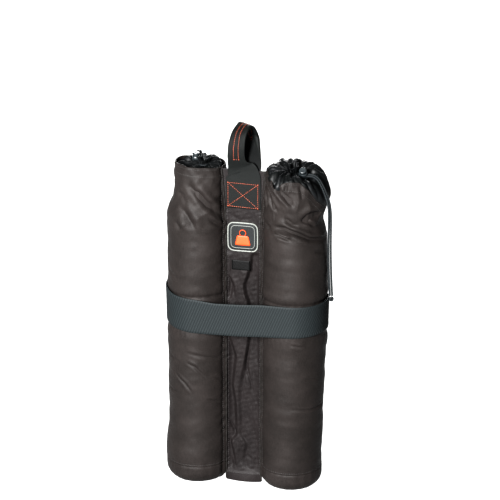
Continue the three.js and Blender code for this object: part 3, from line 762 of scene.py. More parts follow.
def turned_shell(name, side, profile, columns=192):
    """A closed shell from (share of the tube's radius, offset in mm, height) rows."""
    theta = np.linspace(-180, 180, columns + 1)
    rows = []
    for share, offset, z in profile:
        x, y = tube_axis(side, np.array([max(z, BASE_SEAM_Z)]))
        shape = tube_radius(side, theta[:-1], np.full(columns, max(z, BASE_SEAM_Z)))
        shape = shape + (sleeve_relief(side, theta[:-1], np.full(columns, BASE_SEAM_Z)) if share > 0.9 else 0)
        a = np.radians(theta[:-1])
        reach = shape * share + offset
        rows.append(np.stack([x + reach * np.cos(a), y + reach * np.sin(a), np.full(columns, z)], axis=-1))
    points = np.array(rows)
    run = run_along(points[:, 0])
    uv = np.stack(np.broadcast_arrays(np.radians(theta)[None] * 30, run[:, None]), axis=-1)
    shell = grid_piece(name, points, uv, ring=True, ends=True)
    face_outwards(shell)
    return shell


arc = np.radians(np.linspace(-90, 0, 12))
INSIDE_ROUND = BASE_ROUND - 1.4
inside_arc = [(1, INSIDE_ROUND * math.cos(a) - BASE_ROUND, BASE_ROUND + INSIDE_ROUND * math.sin(a))
              for a in arc]
outside_arc = [(1, BASE_ROUND * math.cos(a) - BASE_ROUND, BASE_ROUND + BASE_ROUND * math.sin(a))
               for a in arc]
base_profile = [(0, 1.2, 1.4), (0.25, 0, 1.4), *inside_arc, (1, -1.4, BASE_SEAM_Z - 0.4),
                (1, -0.6, BASE_SEAM_Z + 0.2), (1, 0.1, BASE_SEAM_Z - 0.4), (1, 0, 24), *outside_arc[::-1],
                (0.25, 0, 0.05), (0, 1.2, 0.05)]
sand_profile = [(0, 1.2, 2.2), (0.5, 0, 2.2), (0.84, -6, 8), (0.88, -4, 24),
                *[(0.88, -1, z) for z in range(45, 380, 12)], (0.84, 0, 384), (0.6, 0, 394),
                (0.3, 0, 400), (0, 1.2, 401)]
for side in TUBES:
    base = turned_shell(side + "_round_base", side, base_profile)
    dress(base, sleeve_cloth, "root", "tube_fabric", side + "_base_panel")
    sand = turned_shell(side + "_sand", side, sand_profile, 64)
    dress(sand, dry_sand, "root", "sand", side + "_sand_fill")
print("base panels and sand made")

# %% [markdown]
# ## The gathered throats
# Each throat is a tube of thin nylon sewn inside the rim and drawn shut by its cord, so all of its
# cloth has to fit round a neck the size of a finger. It bulges where the sand pushes it up, dips to
# the neck, and stands up again as a small ruffle past the cord. The pleats all run to the neck. A
# table of profile points by direction gives the pouch its uneven shape, and the pleats are added as
# sharp-topped waves whose spacing wanders.

# %% Throat tables
# profile is a direction and five (radius, height) points from inside the rim to the drawn neck; sunk is
# the x, y, height and width of the hollow that the cord lock lies in
THROATS = {
    "right": {
        "middle": (69.3, -1.0), "neck": (69.3, -1.0), "tuft": 489, "pleats": 14, "seed": 4,
        "sunk": (84, -2, 463.5, 11),
        "profile": [
            (-180, (36.5, 472), (37.5, 480), (29, 486), (15, 483), (5, 476.5)),
            (-150, (36, 470), (37, 479), (28, 484), (15, 481), (5, 476.5)),
            (-118, (37, 452), (38.5, 464), (29, 477), (15, 479), (5, 476.5)),
            (-90, (38, 467), (36, 477), (26, 482), (15, 480), (5, 476.5)),
            (-60, (38, 464), (38, 474), (28, 479), (16, 477), (5, 476)),
            (-40, (41, 452), (42, 462), (33, 472), (18, 474), (5, 476)),
            (-24, (43, 438), (46, 450), (36, 466), (20, 471), (5, 476)),
            (-5, (44, 424), (47.2, 439), (38.2, 460), (24, 470), (5, 476)),
            (14, (44, 428), (51.5, 446), (42, 470), (23, 479), (5, 476)),
            (45, (43.5, 446), (50, 460), (37, 482), (19, 484), (5, 476.5)),
            (90, (41, 464), (43, 475), (30, 488), (16, 485), (5, 476.5)),
            (140, (38, 472), (39, 481), (31, 488), (16, 485), (5, 476.5)),
            (180, (36.5, 472), (37.5, 480), (29, 486), (15, 483), (5, 476.5)),
        ],
    },
    "left": {
        "middle": (-65.5, -4.0), "neck": (-61.0, -2.0), "tuft": 490.5, "pleats": 12, "seed": 9,
        "sunk": (-77, 15, 479, 8),
        "profile": [
            (-180, (33, 481), (29, 480), (21, 477), (12, 478), (5, 479)),
            (-120, (30.5, 478), (26, 476), (19, 474), (12, 477), (5, 479)),
            (-60, (30, 477), (26, 476), (19, 475), (11, 478), (5, 479)),
            (0, (31, 478), (28, 481), (20, 483), (11, 482), (5, 480)),
            (50, (30.5, 480), (29, 485), (22, 488), (12, 486), (5, 481)),
            (100, (30.5, 481), (29, 485), (21, 487), (12, 485), (5, 480)),
            (140, (32, 482), (30, 484), (21, 483), (12, 481), (5, 479)),
            (180, (33, 481), (29, 480), (21, 477), (12, 478), (5, 479)),
        ],
    },
}
THROAT_COLUMNS = 300
THROAT_STEPS = 9


def throat_profile(rows, theta):
    """Control points [point, column, (radius, height)], read from the table by direction."""
    points = []
    for k in range(1, 6):
        radius = around(theta, [(row[0], row[k][0]) for row in rows], 6)
        height = around(theta, [(row[0], row[k][1]) for row in rows], 6)
        points.append(np.stack([radius, height], axis=-1))
    return np.array(points)


def smooth_rows(points, steps):
    """Catmull-Rom rows through control rows [k, column, xyz]."""
    padded = np.concatenate([2 * points[:1] - points[1:2], points, 2 * points[-1:] - points[-2:-1]])
    rows = []
    for k in range(1, len(padded) - 2):
        a, b, c, d = padded[k - 1 : k + 3]
        for t in np.arange(steps) / steps:
            rows.append(0.5 * (2 * b + (c - a) * t + (2 * a - 5 * b + 4 * c - d) * t**2
                               + (3 * b - a - 3 * c + d) * t**3))
    return np.array([*rows, points[-1]])


def make_throat(side):
    facts = THROATS[side]
    seed = facts["seed"]
    theta = np.linspace(-180, 180, THROAT_COLUMNS + 1)[:-1]
    a = np.radians(theta)
    control = throat_profile(facts["profile"], theta)
    # past the neck the cloth stands up as a ruffle, taller towards the back
    ruffle = facts["tuft"] + 2.2 * np.sin(a * 3 + seed) + 1.6 * np.sin(a)
    wide = 9.0 + 2.4 * np.sin(a * 2 + seed)
    neck_z = control[-1, :, 1]
    extra = [np.stack([np.full_like(a, 4.6), neck_z + 3], -1), np.stack([wide * 0.72, neck_z + 7], -1),
             np.stack([wide, ruffle], -1)]
    control = np.concatenate([control, extra])
    rows = smooth_rows(control, THROAT_STEPS)
    reach, height = rows[..., 0], rows[..., 1]
    count = len(rows)
    share = np.linspace(0, 1, count)[:, None]
    neck_share = 4 / 7
    towards_neck = np.clip(share / neck_share, 0, 1)
    middle = np.array(facts["middle"])
    neck = np.array(facts["neck"])
    cx = middle[0] + (neck[0] - middle[0]) * smoothstep(towards_neck, 0, 1)
    cy = middle[1] + (neck[1] - middle[1]) * smoothstep(towards_neck, 0, 1)
    # pleats: a wave in direction whose phase wanders, folded to sharp crests, higher near the rim's bulge
    rng = np.random.default_rng(seed)
    offsets = rng.uniform(0, 2 * np.pi, 4)
    wander = (0.55 * np.sin(2 * a + offsets[0]) + 0.4 * np.sin(5 * a + offsets[1]))[None] \
        + 0.5 * np.sin(3 * a + offsets[2])[None] * share
    phase = facts["pleats"] * a[None] + wander * 2.2 + 1.4 * np.sin(share * 9 + offsets[3] + 2 * a[None])
    fold = np.abs(np.sin(phase / 2)) ** 0.75
    second = np.abs(np.sin(phase * 1.31 / 2 + 3 * share + 1)) ** 0.8
    wave = (0.65 * fold + 0.35 * second) * 2 - 1.15
    amount = np.interp(share, [0, 0.08, 0.22, 0.42, neck_share, 0.66, 1], [0.2, 2.2, 3.6, 3.0, 0.9, 1.3, 2.6])
    amount = amount * (0.75 + 0.35 * np.sin(2 * a + offsets[2])[None])
    lift = wave * amount
    # the pleats move the cloth along its own normal in each profile
    dr = np.gradient(reach, axis=0)
    dz = np.gradient(height, axis=0)
    size = np.hypot(dr, dz) + 1e-6
    reach = reach + dz / size * lift * np.where(share > neck_share, -1, 1)
    height = height - dr / size * lift * np.where(share > neck_share, -1, 1) * (share < 0.9)
    reach = np.maximum(reach, 1.2)
    x = cx + reach * np.cos(a)
    y = cy + reach * np.sin(a)
    points = np.stack([x, y, height], axis=-1)
    points[..., 2] += 0.5 * ripples(points, 9, seed) * (share < neck_share)
    # the cord lock lies in a hollow between two bulges
    sx, sy, low, width = facts["sunk"]
    off_lock = np.hypot(points[..., 0] - sx, points[..., 1] - sy)
    press = np.exp(-((off_lock / width) ** 4)) * (share < neck_share)
    pressed = np.minimum(points[..., 2], low * press + points[..., 2] * (1 - press))
    points[..., 2] = np.where(press > 0.01, pressed, points[..., 2])
    run = np.concatenate([[0], np.cumsum(np.abs(np.diff(reach.mean(1))) + np.abs(np.diff(height.mean(1))))])
    edge = np.linspace(-np.pi, np.pi, THROAT_COLUMNS + 1)
    uv = np.stack(np.broadcast_arrays(edge[None] * 40, run[:, None]), axis=-1)
    throat = grid_piece(side + "_gathered_throat", points, uv, ring=True)
    settle(throat, ("SOLIDIFY", {"thickness": 0.5 * MM, "offset": -1}))
    face_outwards(throat)
    smooth_shade(throat.data)
    return dress(throat, throat_nylon, "root", "nylon", side + "_collar")


for side in THROATS:
    throat = make_throat(side)
    x, y = THROATS[side]["neck"]
    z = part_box(side + "_drawcord_ring")[0].z / MM + CORD_D / 2
    around_neck = np.radians(np.linspace(0, 360, 49))
    circle = np.stack([x + 6.1 * np.cos(around_neck), y + 6.1 * np.sin(around_neck), z + 0 * around_neck],
                      axis=-1)
    ring_cord = bar(side + "_throat_cord", circle, CORD_D / 2 * 0.9, sides=12, hint=(0, 0, 1))
    dress(ring_cord, drawcord_braid, "root", "drawcord", side + "_drawcord_ring")
    print(throat.name, [round(d * 1000) for d in throat.dimensions], "mm")

# %% [markdown]
# ## The web
# The web is two flat layers between the tubes. Nothing fills it, so it is pulled into folds: above
# the strap the sewn badge keeps it flat and wide, and it narrows to a ridge where the strap pinches
# it; below the strap long upright folds run down to a stitched hem. One grid of points holds it,
# with the folds as ridges and valleys across its width whose places drift with height.

# %% Web panels
WEB_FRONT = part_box("web_front_panel")[0].y / MM
WEB_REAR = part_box("web_rear_panel")[1].y / MM
WEB_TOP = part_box("web_front_panel")[1].z / MM
HEM_H = 15.0


def seam_x(sign, z):
    """Where each seam runs, in mm from the middle."""
    wide = table(z, [(0, 25.6), (396, 25.6), (420, 26.6), (440, 28.2), (462, 30.2), (486, 31.8)])
    return sign * wide


# path as (x, z) points in mm, depth and width
WEB_CREASES = [
    ([(8.7, 222), (3.4, 189), (3, 178), (10.6, 154), (12, 136)], 1.26, 1.6),
    ([(-24.4, 98), (-11.5, 72)], 1.82, 1.7),
    ([(-25, 76), (-17, 44), (-11, 20)], 1.82, 1.8),
    ([(-24, 322), (-15, 301), (-14, 285)], 1.4, 2.2),
    ([(4, 42), (12, 34)], 0.63, 1.8),
    ([(16, 128), (8, 116)], 0.56, 1.8),
    ([(-20, 412), (-4, 405), (16, 410)], 0.42, 2.4),
]


def web_relief(x, z):
    """How far the web's front stands forward of its flat plane, in mm."""
    half = seam_x(1, z)
    # a raised strip runs down the middle, wide under the badge and narrow at the strap
    middle = table(z, [(0, -3), (18, -4), (30, -8), (45, -8.5), (60, -7.5), (68, -8), (77, -8.2),
                       (124, -9), (150, -10.5), (195, -4), (225, -6.5), (280, -7), (306, -7.5), (322, -8),
                       (342, -6.5), (364, -6), (400, -2)], 4)
    strip = table(z, [(0, 24), (16, 22), (22, 6), (43, 8.5), (60, 11.5), (67, 6), (72, 2.2), (124, 3),
                      (150, 5.5), (195, 7), (225, 14), (280, 14), (291, 10), (306, 7.8), (322, 14),
                      (342, 16.5), (364, 20.5), (400, 23), (425, 27), (500, 40)], 3)
    left_drop = table(z, [(0, 0.5), (16, 0.8), (30, 3), (62, 4.5), (150, 5.5), (300, 4.6), (342, 3.2),
                          (364, 2.2), (400, 1.4), (422, 0.3), (500, 0)])
    right_drop = table(z, [(0, 0.5), (16, 0.8), (30, 1.6), (60, 3), (150, 3), (190, 5), (300, 6),
                           (342, 4.4), (364, 2.6), (400, 1.3), (422, 0.3), (500, 0)])
    crisp = table(z, [(0, 3.5), (60, 3.2), (150, 4.4), (190, 3.0), (364, 2.6), (400, 3.5)])
    height = -left_drop * smoothstep(middle - strip - x, -2, 4.5)
    height = height - right_drop * smoothstep(x - middle - strip, -crisp, crisp)
    # the cloth climbs back to the seams
    to_seam = np.maximum(half - np.abs(x), 0)
    height += np.where(x < 0, left_drop, right_drop) * 0.8 * np.exp(-((to_seam / 4.6) ** 2))
    per_mm = 57.3 / 45  # creases take directions round a 45 mm tube
    for path, depth, width in WEB_CREASES:
        height += crease(x * per_mm, z, [(u * per_mm, v) for u, v in path], depth, width, 0.3, 0.3)
    place = np.stack([x, np.zeros_like(x), z], axis=-1)
    free = smoothstep(z, 14, 22) * (1 - smoothstep(z, 416, 424))
    height += free * (0.3 * ripples(place, 16, 31, (1, 1, 0.45)) + 0.14 * ripples(place, 7, 32))
    wandering = z + 4 * np.sin(z / 13) + 2 * np.sin(z / 5.1)
    pucker = np.sin(2 * np.pi * wandering / 8) * np.exp(-((to_seam / 4.0) ** 1.4))
    height += (0.3 + 0.15 * np.sin(z / 21)) * pucker * free
    # the badge and the label keep the cloth under them flat
    for low, high, middle_x, half_x in ((352, 406, -1, 25), (325, 349, -4, 15)):
        under = smoothstep(z, low, low + 6) * (1 - smoothstep(z, high - 6, high))
        under = under * (1 - smoothstep(np.abs(x - middle_x), half_x - 3, half_x + 1.5))
        height = height * (1 - under)
    # the hem is turned up twice, and its edge bows forward near the ground
    height += 0.9 * (1 - smoothstep(z, HEM_H - 0.8, HEM_H + 0.6))
    height += 4.5 * np.exp(-((z / 20) ** 2)) * np.cos(np.clip(x / half, -1, 1) * np.pi / 2) ** 0.8
    return height


def web_grid(columns, rows, y_offset, relief_share):
    z = np.concatenate([np.linspace(1.2, 30, 26), np.linspace(30, WEB_TOP, rows)[1:]])[:, None]
    across = np.linspace(-1, 1, columns)[None, :]
    half = seam_x(1, z)
    x = across * (half + 0.6)
    z = np.broadcast_to(z, x.shape)
    y = y_offset - relief_share * web_relief(x, z)
    uv = np.stack([x, z], axis=-1)
    return np.stack([x, y, z], axis=-1), uv


def shell_piece(name, points, uv, thickness, offset=-1):
    piece = grid_piece(name, points, uv)
    settle(piece, ("SOLIDIFY", {"thickness": thickness * MM, "offset": offset}))
    face_outwards(piece)
    smooth_shade(piece.data)
    return piece


web_points, web_uv = web_grid(96, 330, WEB_FRONT, 1.0)
web_front = shell_piece("web_front", web_points, web_uv, 0.9)
dress(web_front, web_cloth, "root", "web_fabric", "web_front_panel")
rear_points, rear_uv = web_grid(48, 160, WEB_REAR - 0.9, 1.0)
web_rear = shell_piece("web_rear", rear_points, rear_uv, 0.7, 0)
dress(web_rear, web_cloth, "root", "web_fabric", "web_rear_panel")
print("web", len(web_front.data.polygons) + len(web_rear.data.polygons), "faces")

# %% Bound seams
def seam_line(sign):
    z = np.linspace(3, WEB_TOP - 1, 420)
    x = seam_x(sign, z) + sign * 0.35
    y = WEB_FRONT - 0.9 + 0.25 * np.sin(2 * np.pi * z / 10.5 + sign)
    y += -0.5 * smoothstep(z, 440, 480)
    return np.stack([x, y, z], axis=-1)


for sign, side in ((-1, "left"), (1, "right")):
    line = seam_line(sign)
    z = line[:, 2]
    swell = 1.35 + 0.08 * np.sin(2 * np.pi * (z + 3 * np.sin(z / 15)) / 14) + (0.25 if side == "right" else 0)
    seam = bar(side + "_bound_seam", line, swell, sides=12, hint=(1, 0, 0), flat=0.6)
    dress(seam, hem_cloth, "root", "web_fabric", side + "_web_seam")

# %% [markdown]
# ## The strap
# The strap is 2 inch ribbed webbing. It runs once round both tubes, flat against them at the sides
# and straight between them, and closes behind the left tube. Its section is a thin rectangle, swept
# along a path in plan made of two arcs and the straights between. The ribs repeat along the run, so
# Geometry Nodes raise them: each point moves along its normal by a sine of its run.

# %% Strap paths
WEBBING_T = 1.6
RIB_PITCH = 3.8
RIB_SLANT = 0.4


def plan_arc(x, radius, start, end, step=1.0):
    count = max(int(abs(math.radians(end - start)) * radius / step), 2)
    a = np.radians(np.linspace(start, end, count))
    return np.stack([x + radius * np.cos(a), radius * np.sin(a)], axis=1)


def plan_path(*parts, step=0.95):
    """One evenly spaced path in plan through arcs and points."""
    line = np.concatenate([np.atleast_2d(np.array(part, float)) for part in parts])
    run = run_along(line)
    at = np.arange(0, run[-1], step)
    return np.stack([np.interp(at, run, line[:, 0]), np.interp(at, run, line[:, 1])], axis=1)


def tape(name, path, thickness, low, high, ribbed, columns=16, lean=None, flare=0.0):
    """A flat tape standing on edge along a path in plan, with softly rounded edges. lean gives how far
    its lower and upper edges sit above their usual height at each point of the path, and flare how far
    the upper edge stands off."""
    tangent = np.gradient(path, axis=0)
    tangent /= np.linalg.norm(tangent, axis=1, keepdims=True)
    outer = np.stack([tangent[:, 1], -tangent[:, 0]], axis=1)
    face = np.linspace(low + 0.5, high - 0.5, columns)
    back = np.linspace(high - 0.5, low + 0.5, 6)
    half = thickness / 2
    heights = np.concatenate([face, [high], [high], back, [low], [low]])
    sides = np.concatenate([np.full(columns, half), [half * 0.5, -half * 0.5], np.full(6, -half),
                            [-half * 0.5, half * 0.5]])
    plan = path[:, None] + outer[:, None] * sides[None, :, None]
    share = (heights - low) / (high - low)
    leans = np.zeros((len(path), 2)) if lean is None else lean(path)
    height = heights[None] + leans[:, :1] * (1 - share)[None] + leans[:, 1:] * share[None]
    plan = plan + outer[:, None] * (flare * share**2)[None, :, None]
    points = np.concatenate([plan, height[..., None]], axis=-1)
    run = run_along(path)
    up = np.append(heights, heights[0])
    uv = np.stack(np.broadcast_arrays(run[:, None] - RIB_SLANT * up[None], up[None]), axis=-1)
    piece = grid_piece(name, points, uv, ring=True, ends=True)
    if ribbed:
        slant = np.broadcast_to(run[:, None] - RIB_SLANT * heights[None], points.shape[:2])
        inside = np.abs(heights - (low + high) / 2) < (high - low) / 2 - 0.8
        mask = np.broadcast_to((inside & (sides > 0))[None], points.shape[:2])
        for label, values in (("rib_run", slant), ("rib_mask", mask)):
            attribute = piece.data.attributes.new(label, "FLOAT", "POINT")
            attribute.data.foreach_set("value", values.astype(np.float32).ravel())
    face_outwards(piece)
    return piece


# %% [markdown]
# The rib tree has two inputs, the pitch and the depth. It reads the two attributes stored on the
# points and ends in Set Material, so the finish travels with the mesh.

# %% Rib tree
def new_tree(name, inputs):
    """An empty geometry tree with a geometry socket in and out and the named float or material inputs."""
    tree = bpy.data.node_groups.new(name, "GeometryNodeTree")
    tree.interface.new_socket("Geometry", in_out="INPUT", socket_type="NodeSocketGeometry")
    tree.interface.new_socket("Geometry", in_out="OUTPUT", socket_type="NodeSocketGeometry")
    for label, kind in inputs:
        tree.interface.new_socket(label, in_out="INPUT", socket_type=kind)
    return tree, add(tree, "NodeGroupInput").outputs, add(tree, "NodeGroupOutput")


def run_tree(piece, tree, **values):
    """Runs a tree on a piece with inputs by name, and keeps the result as its mesh."""
    modifier = piece.modifiers.new(tree.name, "NODES")
    modifier.node_group = tree
    sockets = {s.name: s.identifier for s in tree.interface.items_tree if s.in_out == "INPUT"}
    for label, value in values.items():
        modifier[sockets[label.replace("_", " ")]] = value
    graph = bpy.context.evaluated_depsgraph_get()
    graph.update()
    made = bpy.data.meshes.new_from_object(piece.evaluated_get(graph))
    piece.modifiers.clear()
    if piece.type == "MESH":
        piece.data = made
    smooth_shade(piece.data)
    return piece


rib_tree, given, result = new_tree("webbing_ribs", [
    ("Pitch", "NodeSocketFloat"), ("Depth", "NodeSocketFloat"), ("Finish", "NodeSocketMaterial")])
run_value = add(rib_tree, "GeometryNodeInputNamedAttribute",
                {"data_type": "FLOAT", "Name": "rib_run"}).outputs[0]
mask_value = add(rib_tree, "GeometryNodeInputNamedAttribute",
                 {"data_type": "FLOAT", "Name": "rib_mask"}).outputs[0]
turns = add(rib_tree, "ShaderNodeMath", {"operation": "DIVIDE"}, {0: run_value, 1: given["Pitch"]})
angle = add(rib_tree, "ShaderNodeMath", {"operation": "MULTIPLY", 1: 2 * math.pi}, {0: turns.outputs[0]})
wave = add(rib_tree, "ShaderNodeMath", {"operation": "SINE"}, {0: angle.outputs[0]})
masked = add(rib_tree, "ShaderNodeMath", {"operation": "MULTIPLY"}, {0: wave.outputs[0], 1: mask_value})
height = add(rib_tree, "ShaderNodeMath", {"operation": "MULTIPLY"}, {0: masked.outputs[0], 1: given["Depth"]})
normal = add(rib_tree, "GeometryNodeInputNormal").outputs[0]
offset = add(rib_tree, "ShaderNodeVectorMath", {"operation": "SCALE"},
             {0: normal, "Scale": height.outputs[0]})
moved = add(rib_tree, "GeometryNodeSetPosition", {}, {"Geometry": given["Geometry"],
                                                      "Offset": offset.outputs[0]})
realized = add(rib_tree, "GeometryNodeRealizeInstances", {}, {0: moved.outputs[0]})
painted = add(rib_tree, "GeometryNodeSetMaterial", {}, {"Geometry": realized.outputs[0],
                                                        "Material": given["Finish"]})
rib_tree.links.new(painted.outputs[0], result.inputs[0])

# %% Strap pieces
LEFT_WRAP = 46.15
RIGHT_WRAP = 47.9
right_middle = float(table(np.array([265.0]), TUBES["right"]["x"])[0])
left_middle = float(table(np.array([265.0]), TUBES["left"]["x"])[0])
band_path = plan_path(
    (-30, LEFT_WRAP), plan_arc(left_middle, LEFT_WRAP, 90, 270), plan_arc(right_middle, RIGHT_WRAP, -90, 84),
    (70, 47.2), (63, 46.4))
tail_path = plan_path((62.6, 46.3), (52, 46.3), (42, 46.8), (15, 48.7), (-2, 50.2), (-14, 50.65),
                      plan_arc(left_middle, 50.65, 90, 128))
loop_path = plan_path((-32, 47.75), plan_arc(left_middle, 47.75, 90, 135))
hook_path = plan_path((-24, 49.05), plan_arc(left_middle, 49.05, 90, 126))
PATCH_INSET = 3.0
FRONT_LEAN = [(-118, 7, 10.5), (-112, 4.5, 7), (-100, 2, 2.5), (-69, -1, 0), (-35, -0.5, -3), (0, 0.5, -1.5),
              (35, 3, 1.5), (69, 4.5, 1.5), (105, 6, 1.5), (120, 7, 2)]


def strap_lean(path):
    """The strap has ridden up at both sides; behind the bag it is back in its place."""
    x, y = path.T
    lows, highs = ([(row[0], row[k]) for row in FRONT_LEAN] for k in (1, 2))
    front = np.stack([table(x, lows), table(x, highs)], axis=-1)
    return front * (1 - smoothstep(y, 2, 40))[:, None]


strap_band = tape("strap_webbing_band", band_path, WEBBING_T, STRAP_LOW, STRAP_HIGH, True,
                  lean=strap_lean, flare=1.0)
strap_tail = tape("strap_webbing_tail", tail_path, WEBBING_T, STRAP_LOW, STRAP_HIGH, True)
for piece in (strap_band, strap_tail):
    run_tree(piece, rib_tree, Pitch=RIB_PITCH, Depth=0.42 * MM, Finish=strap_webbing)
loop_patch = tape("strap_loop_tape", loop_path, 1.0, STRAP_LOW + PATCH_INSET, STRAP_HIGH - PATCH_INSET, False)
hook_patch = tape("strap_hook_tape", hook_path, 1.0, STRAP_LOW + PATCH_INSET, STRAP_HIGH - PATCH_INSET, False)
dress(strap_band, strap_webbing, "root", "strap_webbing", "strap_band")
dress(strap_tail, strap_webbing, None, "strap_webbing", "strap_tail")
dress(loop_patch, loop_pile, "root", "hook_and_loop", "strap_loop_patch")
dress(hook_patch, hook_pile, "strap_tail", "hook_and_loop", "strap_hook_patch")
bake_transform(strap_tail)

# %% [markdown]
# ## The carry handle
# One length of flat webbing is sewn to the web's front, folded in half for the hand, looped over and
# sewn down behind. It is one piece on the real bag, so it is lofted as one piece: a list of
# stations gives the middle, the width, the thickness and the turn of the section, and the section
# changes from a flat strip to a thick fold.

# %% Handle loft
# middle x, y, z; width; thickness; turn about Z in degrees
HANDLE = [
    (0, -15.3, 423, 50.8, 1.6, 0), (0, -15.3, 440, 50.8, 1.6, 0), (0, -15.3, 463, 50.8, 1.6, 0),
    (-0.4, -15.3, 471, 50.0, 1.6, 0), (-2.2, -15.4, 478, 46.4, 1.8, 0), (-5.4, -15.8, 484, 38.0, 2.3, 0),
    (-7.6, -16.8, 489.5, 30.0, 2.9, -1), (-8.8, -18.2, 496, 26.6, 3.2, -2), (-9.2, -19.5, 505, 25.8, 3.3, -5),
    (-8.6, -19, 518, 25.6, 3.3, -12), (-6.2, -12, 534, 25.8, 3.4, -28), (-1.2, 0, 541.8, 26, 3.4, -40),
    (2.4, 9, 537, 26, 3.4, -38), (5.0, 13, 524, 26, 3.3, -30), (6.6, 7, 510, 26, 3.3, -18),
    (9, -3.5, 496, 27, 3.2, -6), (9.6, -7.6, 489.5, 29.5, 2.9, -2), (8.0, -10.2, 483.5, 35, 2.3, 0),
    (4.0, -10.7, 477.5, 43, 1.8, 0), (0.9, -10.8, 470, 49.2, 1.6, 0), (0, -10.8, 462, 50.8, 1.6, 0),
    (0, -10.8, 440, 50.8, 1.6, 0), (0, -10.8, 423, 50.8, 1.6, 0),
]
HANDLE_STEPS = 12
SECTION_POINTS = 44


def handle_stations():
    stations = curve_through([row[:3] for row in HANDLE], HANDLE_STEPS)
    marks = np.arange(len(HANDLE))
    at = np.linspace(0, len(HANDLE) - 1, len(stations))
    width, thickness, turn_deg = (np.interp(at, marks, [row[k] for row in HANDLE]) for k in (3, 4, 5))
    return stations, width, thickness, np.radians(turn_deg), at


handle_line, handle_width, handle_thickness, handle_turn, handle_at = handle_stations()
handle_along = np.gradient(handle_line, axis=0)
handle_along /= np.linalg.norm(handle_along, axis=1, keepdims=True)
handle_across = np.stack([np.cos(handle_turn), np.sin(handle_turn), 0 * handle_turn], axis=1)
handle_across -= (handle_across * handle_along).sum(1, keepdims=True) * handle_along
handle_across /= np.linalg.norm(handle_across, axis=1, keepdims=True)
handle_out = np.cross(handle_across, handle_along)  # away from the loop's inside


def handle_surface(station, across_mm, face=1, lift=0.1):
    """Points on the handle's outer face, or its inner one, at station numbers and distances across."""
    def pick(values):
        return np.stack([np.interp(station, handle_at, values[:, k]) for k in range(3)], axis=-1)
    half_t = face * (np.interp(station, handle_at, handle_thickness) * 0.56 + lift)
    across = np.broadcast_to(across_mm, np.shape(station))
    return pick(handle_line) + across[..., None] * pick(handle_across) + half_t[..., None] * pick(handle_out)


section = np.linspace(0, 2 * np.pi, SECTION_POINTS, endpoint=False)
squared_u = np.sign(np.cos(section)) * np.abs(np.cos(section)) ** 0.25
squared_v = np.sign(np.sin(section)) * np.abs(np.sin(section)) ** 0.45
# the fold's open edge is a groove along one side, and the middle is a little pillowed
folded = np.clip((38 - handle_width) / 10, 0, 1)[:, None]
side_groove = 1 - 0.07 * folded * np.exp(-((squared_v[None] / 0.35) ** 2)) * (squared_u[None] > 0.5)
pillow = 1 + 0.12 * folded * np.cos(squared_u[None] * np.pi / 2)
edge_wave = 1 + 0.006 * np.sin(handle_at[:, None] * 5.1 + 1)
sideways = handle_width[:, None] / 2 * squared_u[None] * side_groove * edge_wave
outwards = handle_thickness[:, None] / 2 * squared_v[None] * pillow
handle_points = (handle_line[:, None] + sideways[..., None] * handle_across[:, None]
                 + outwards[..., None] * handle_out[:, None])
handle_run = run_along(handle_line)
sides = np.linalg.norm(np.diff(handle_points[0], axis=0, append=handle_points[0, :1]), axis=1)
girth = np.concatenate([[0], np.cumsum(sides)])
handle_uv = np.stack(np.broadcast_arrays(girth[None], handle_run[:, None]), axis=-1)
handle = grid_piece("webbing_handle", handle_points, handle_uv, ring=True, ends=True)
face_outwards(handle)
dress(handle, handle_webbing, None, "handle_webbing", "handle_front_patch", "handle_grip",
      "handle_rear_patch")
# painted shade: the inner face round the loop takes the second, near-black material, which stands in for the
# shade there
handle.data.materials.append(loop_painted_shade)
on_inner_face = (squared_v < -0.3) & (np.abs(squared_u) < 0.93)
round_the_loop = (handle_at[:-1] > 10.4) & (handle_at[:-1] < 17.6)
inside = (round_the_loop[:, None] & on_inner_face[None]).astype(int)
handle.data.polygons.foreach_set("material_index", [*inside.ravel(), 0, 0])
# below the grip's stitches the fold opens, and one flap turns forward on its way to the foot
flap_at = np.linspace(12.9, 15.5, 60)
flap_inner = np.interp(flap_at, [12.9, 13.6, 14.5, 15.5], [4.0, 6.0, 10.2, 12.9])
flap_rows = []
for lift in (0.3, 1.6):
    for share in (0.0, 0.5, 1.0) if lift < 1 else (1.0, 0.5, 0.0):
        across = flap_inner + share * (13.2 - flap_inner)
        crown = 0.5 * math.sin(math.pi * share)
        flap_rows.append(handle_surface(flap_at, across, -1, lift + crown))
flap_points = np.stack(flap_rows, axis=1)
flap_uv = np.stack(np.broadcast_arrays(np.arange(7)[None] * 5.0, run_along(flap_rows[0])[:, None]), axis=-1)
flap = grid_piece("handle_fold_flap", flap_points, flap_uv, ring=True, ends=True)
face_outwards(flap)
dress(flap, handle_webbing, "handle", "handle_webbing")
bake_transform(handle)
print("handle webbing", round(handle_run[-1]), "mm long")

# %% [markdown]
# ## Stitches
# One tree makes every stitch. It takes lines as a mesh of edges, walks along them in equal steps, and
# puts a small spindle at each step, turned along the line, with lengths that vary a little. The
# lines are laid on the cloth by rule first: a boxed cross on the handle's foot, a long double row
# on the grip, and black rows beside both seams, on the hem, on the rims and on the base seam.

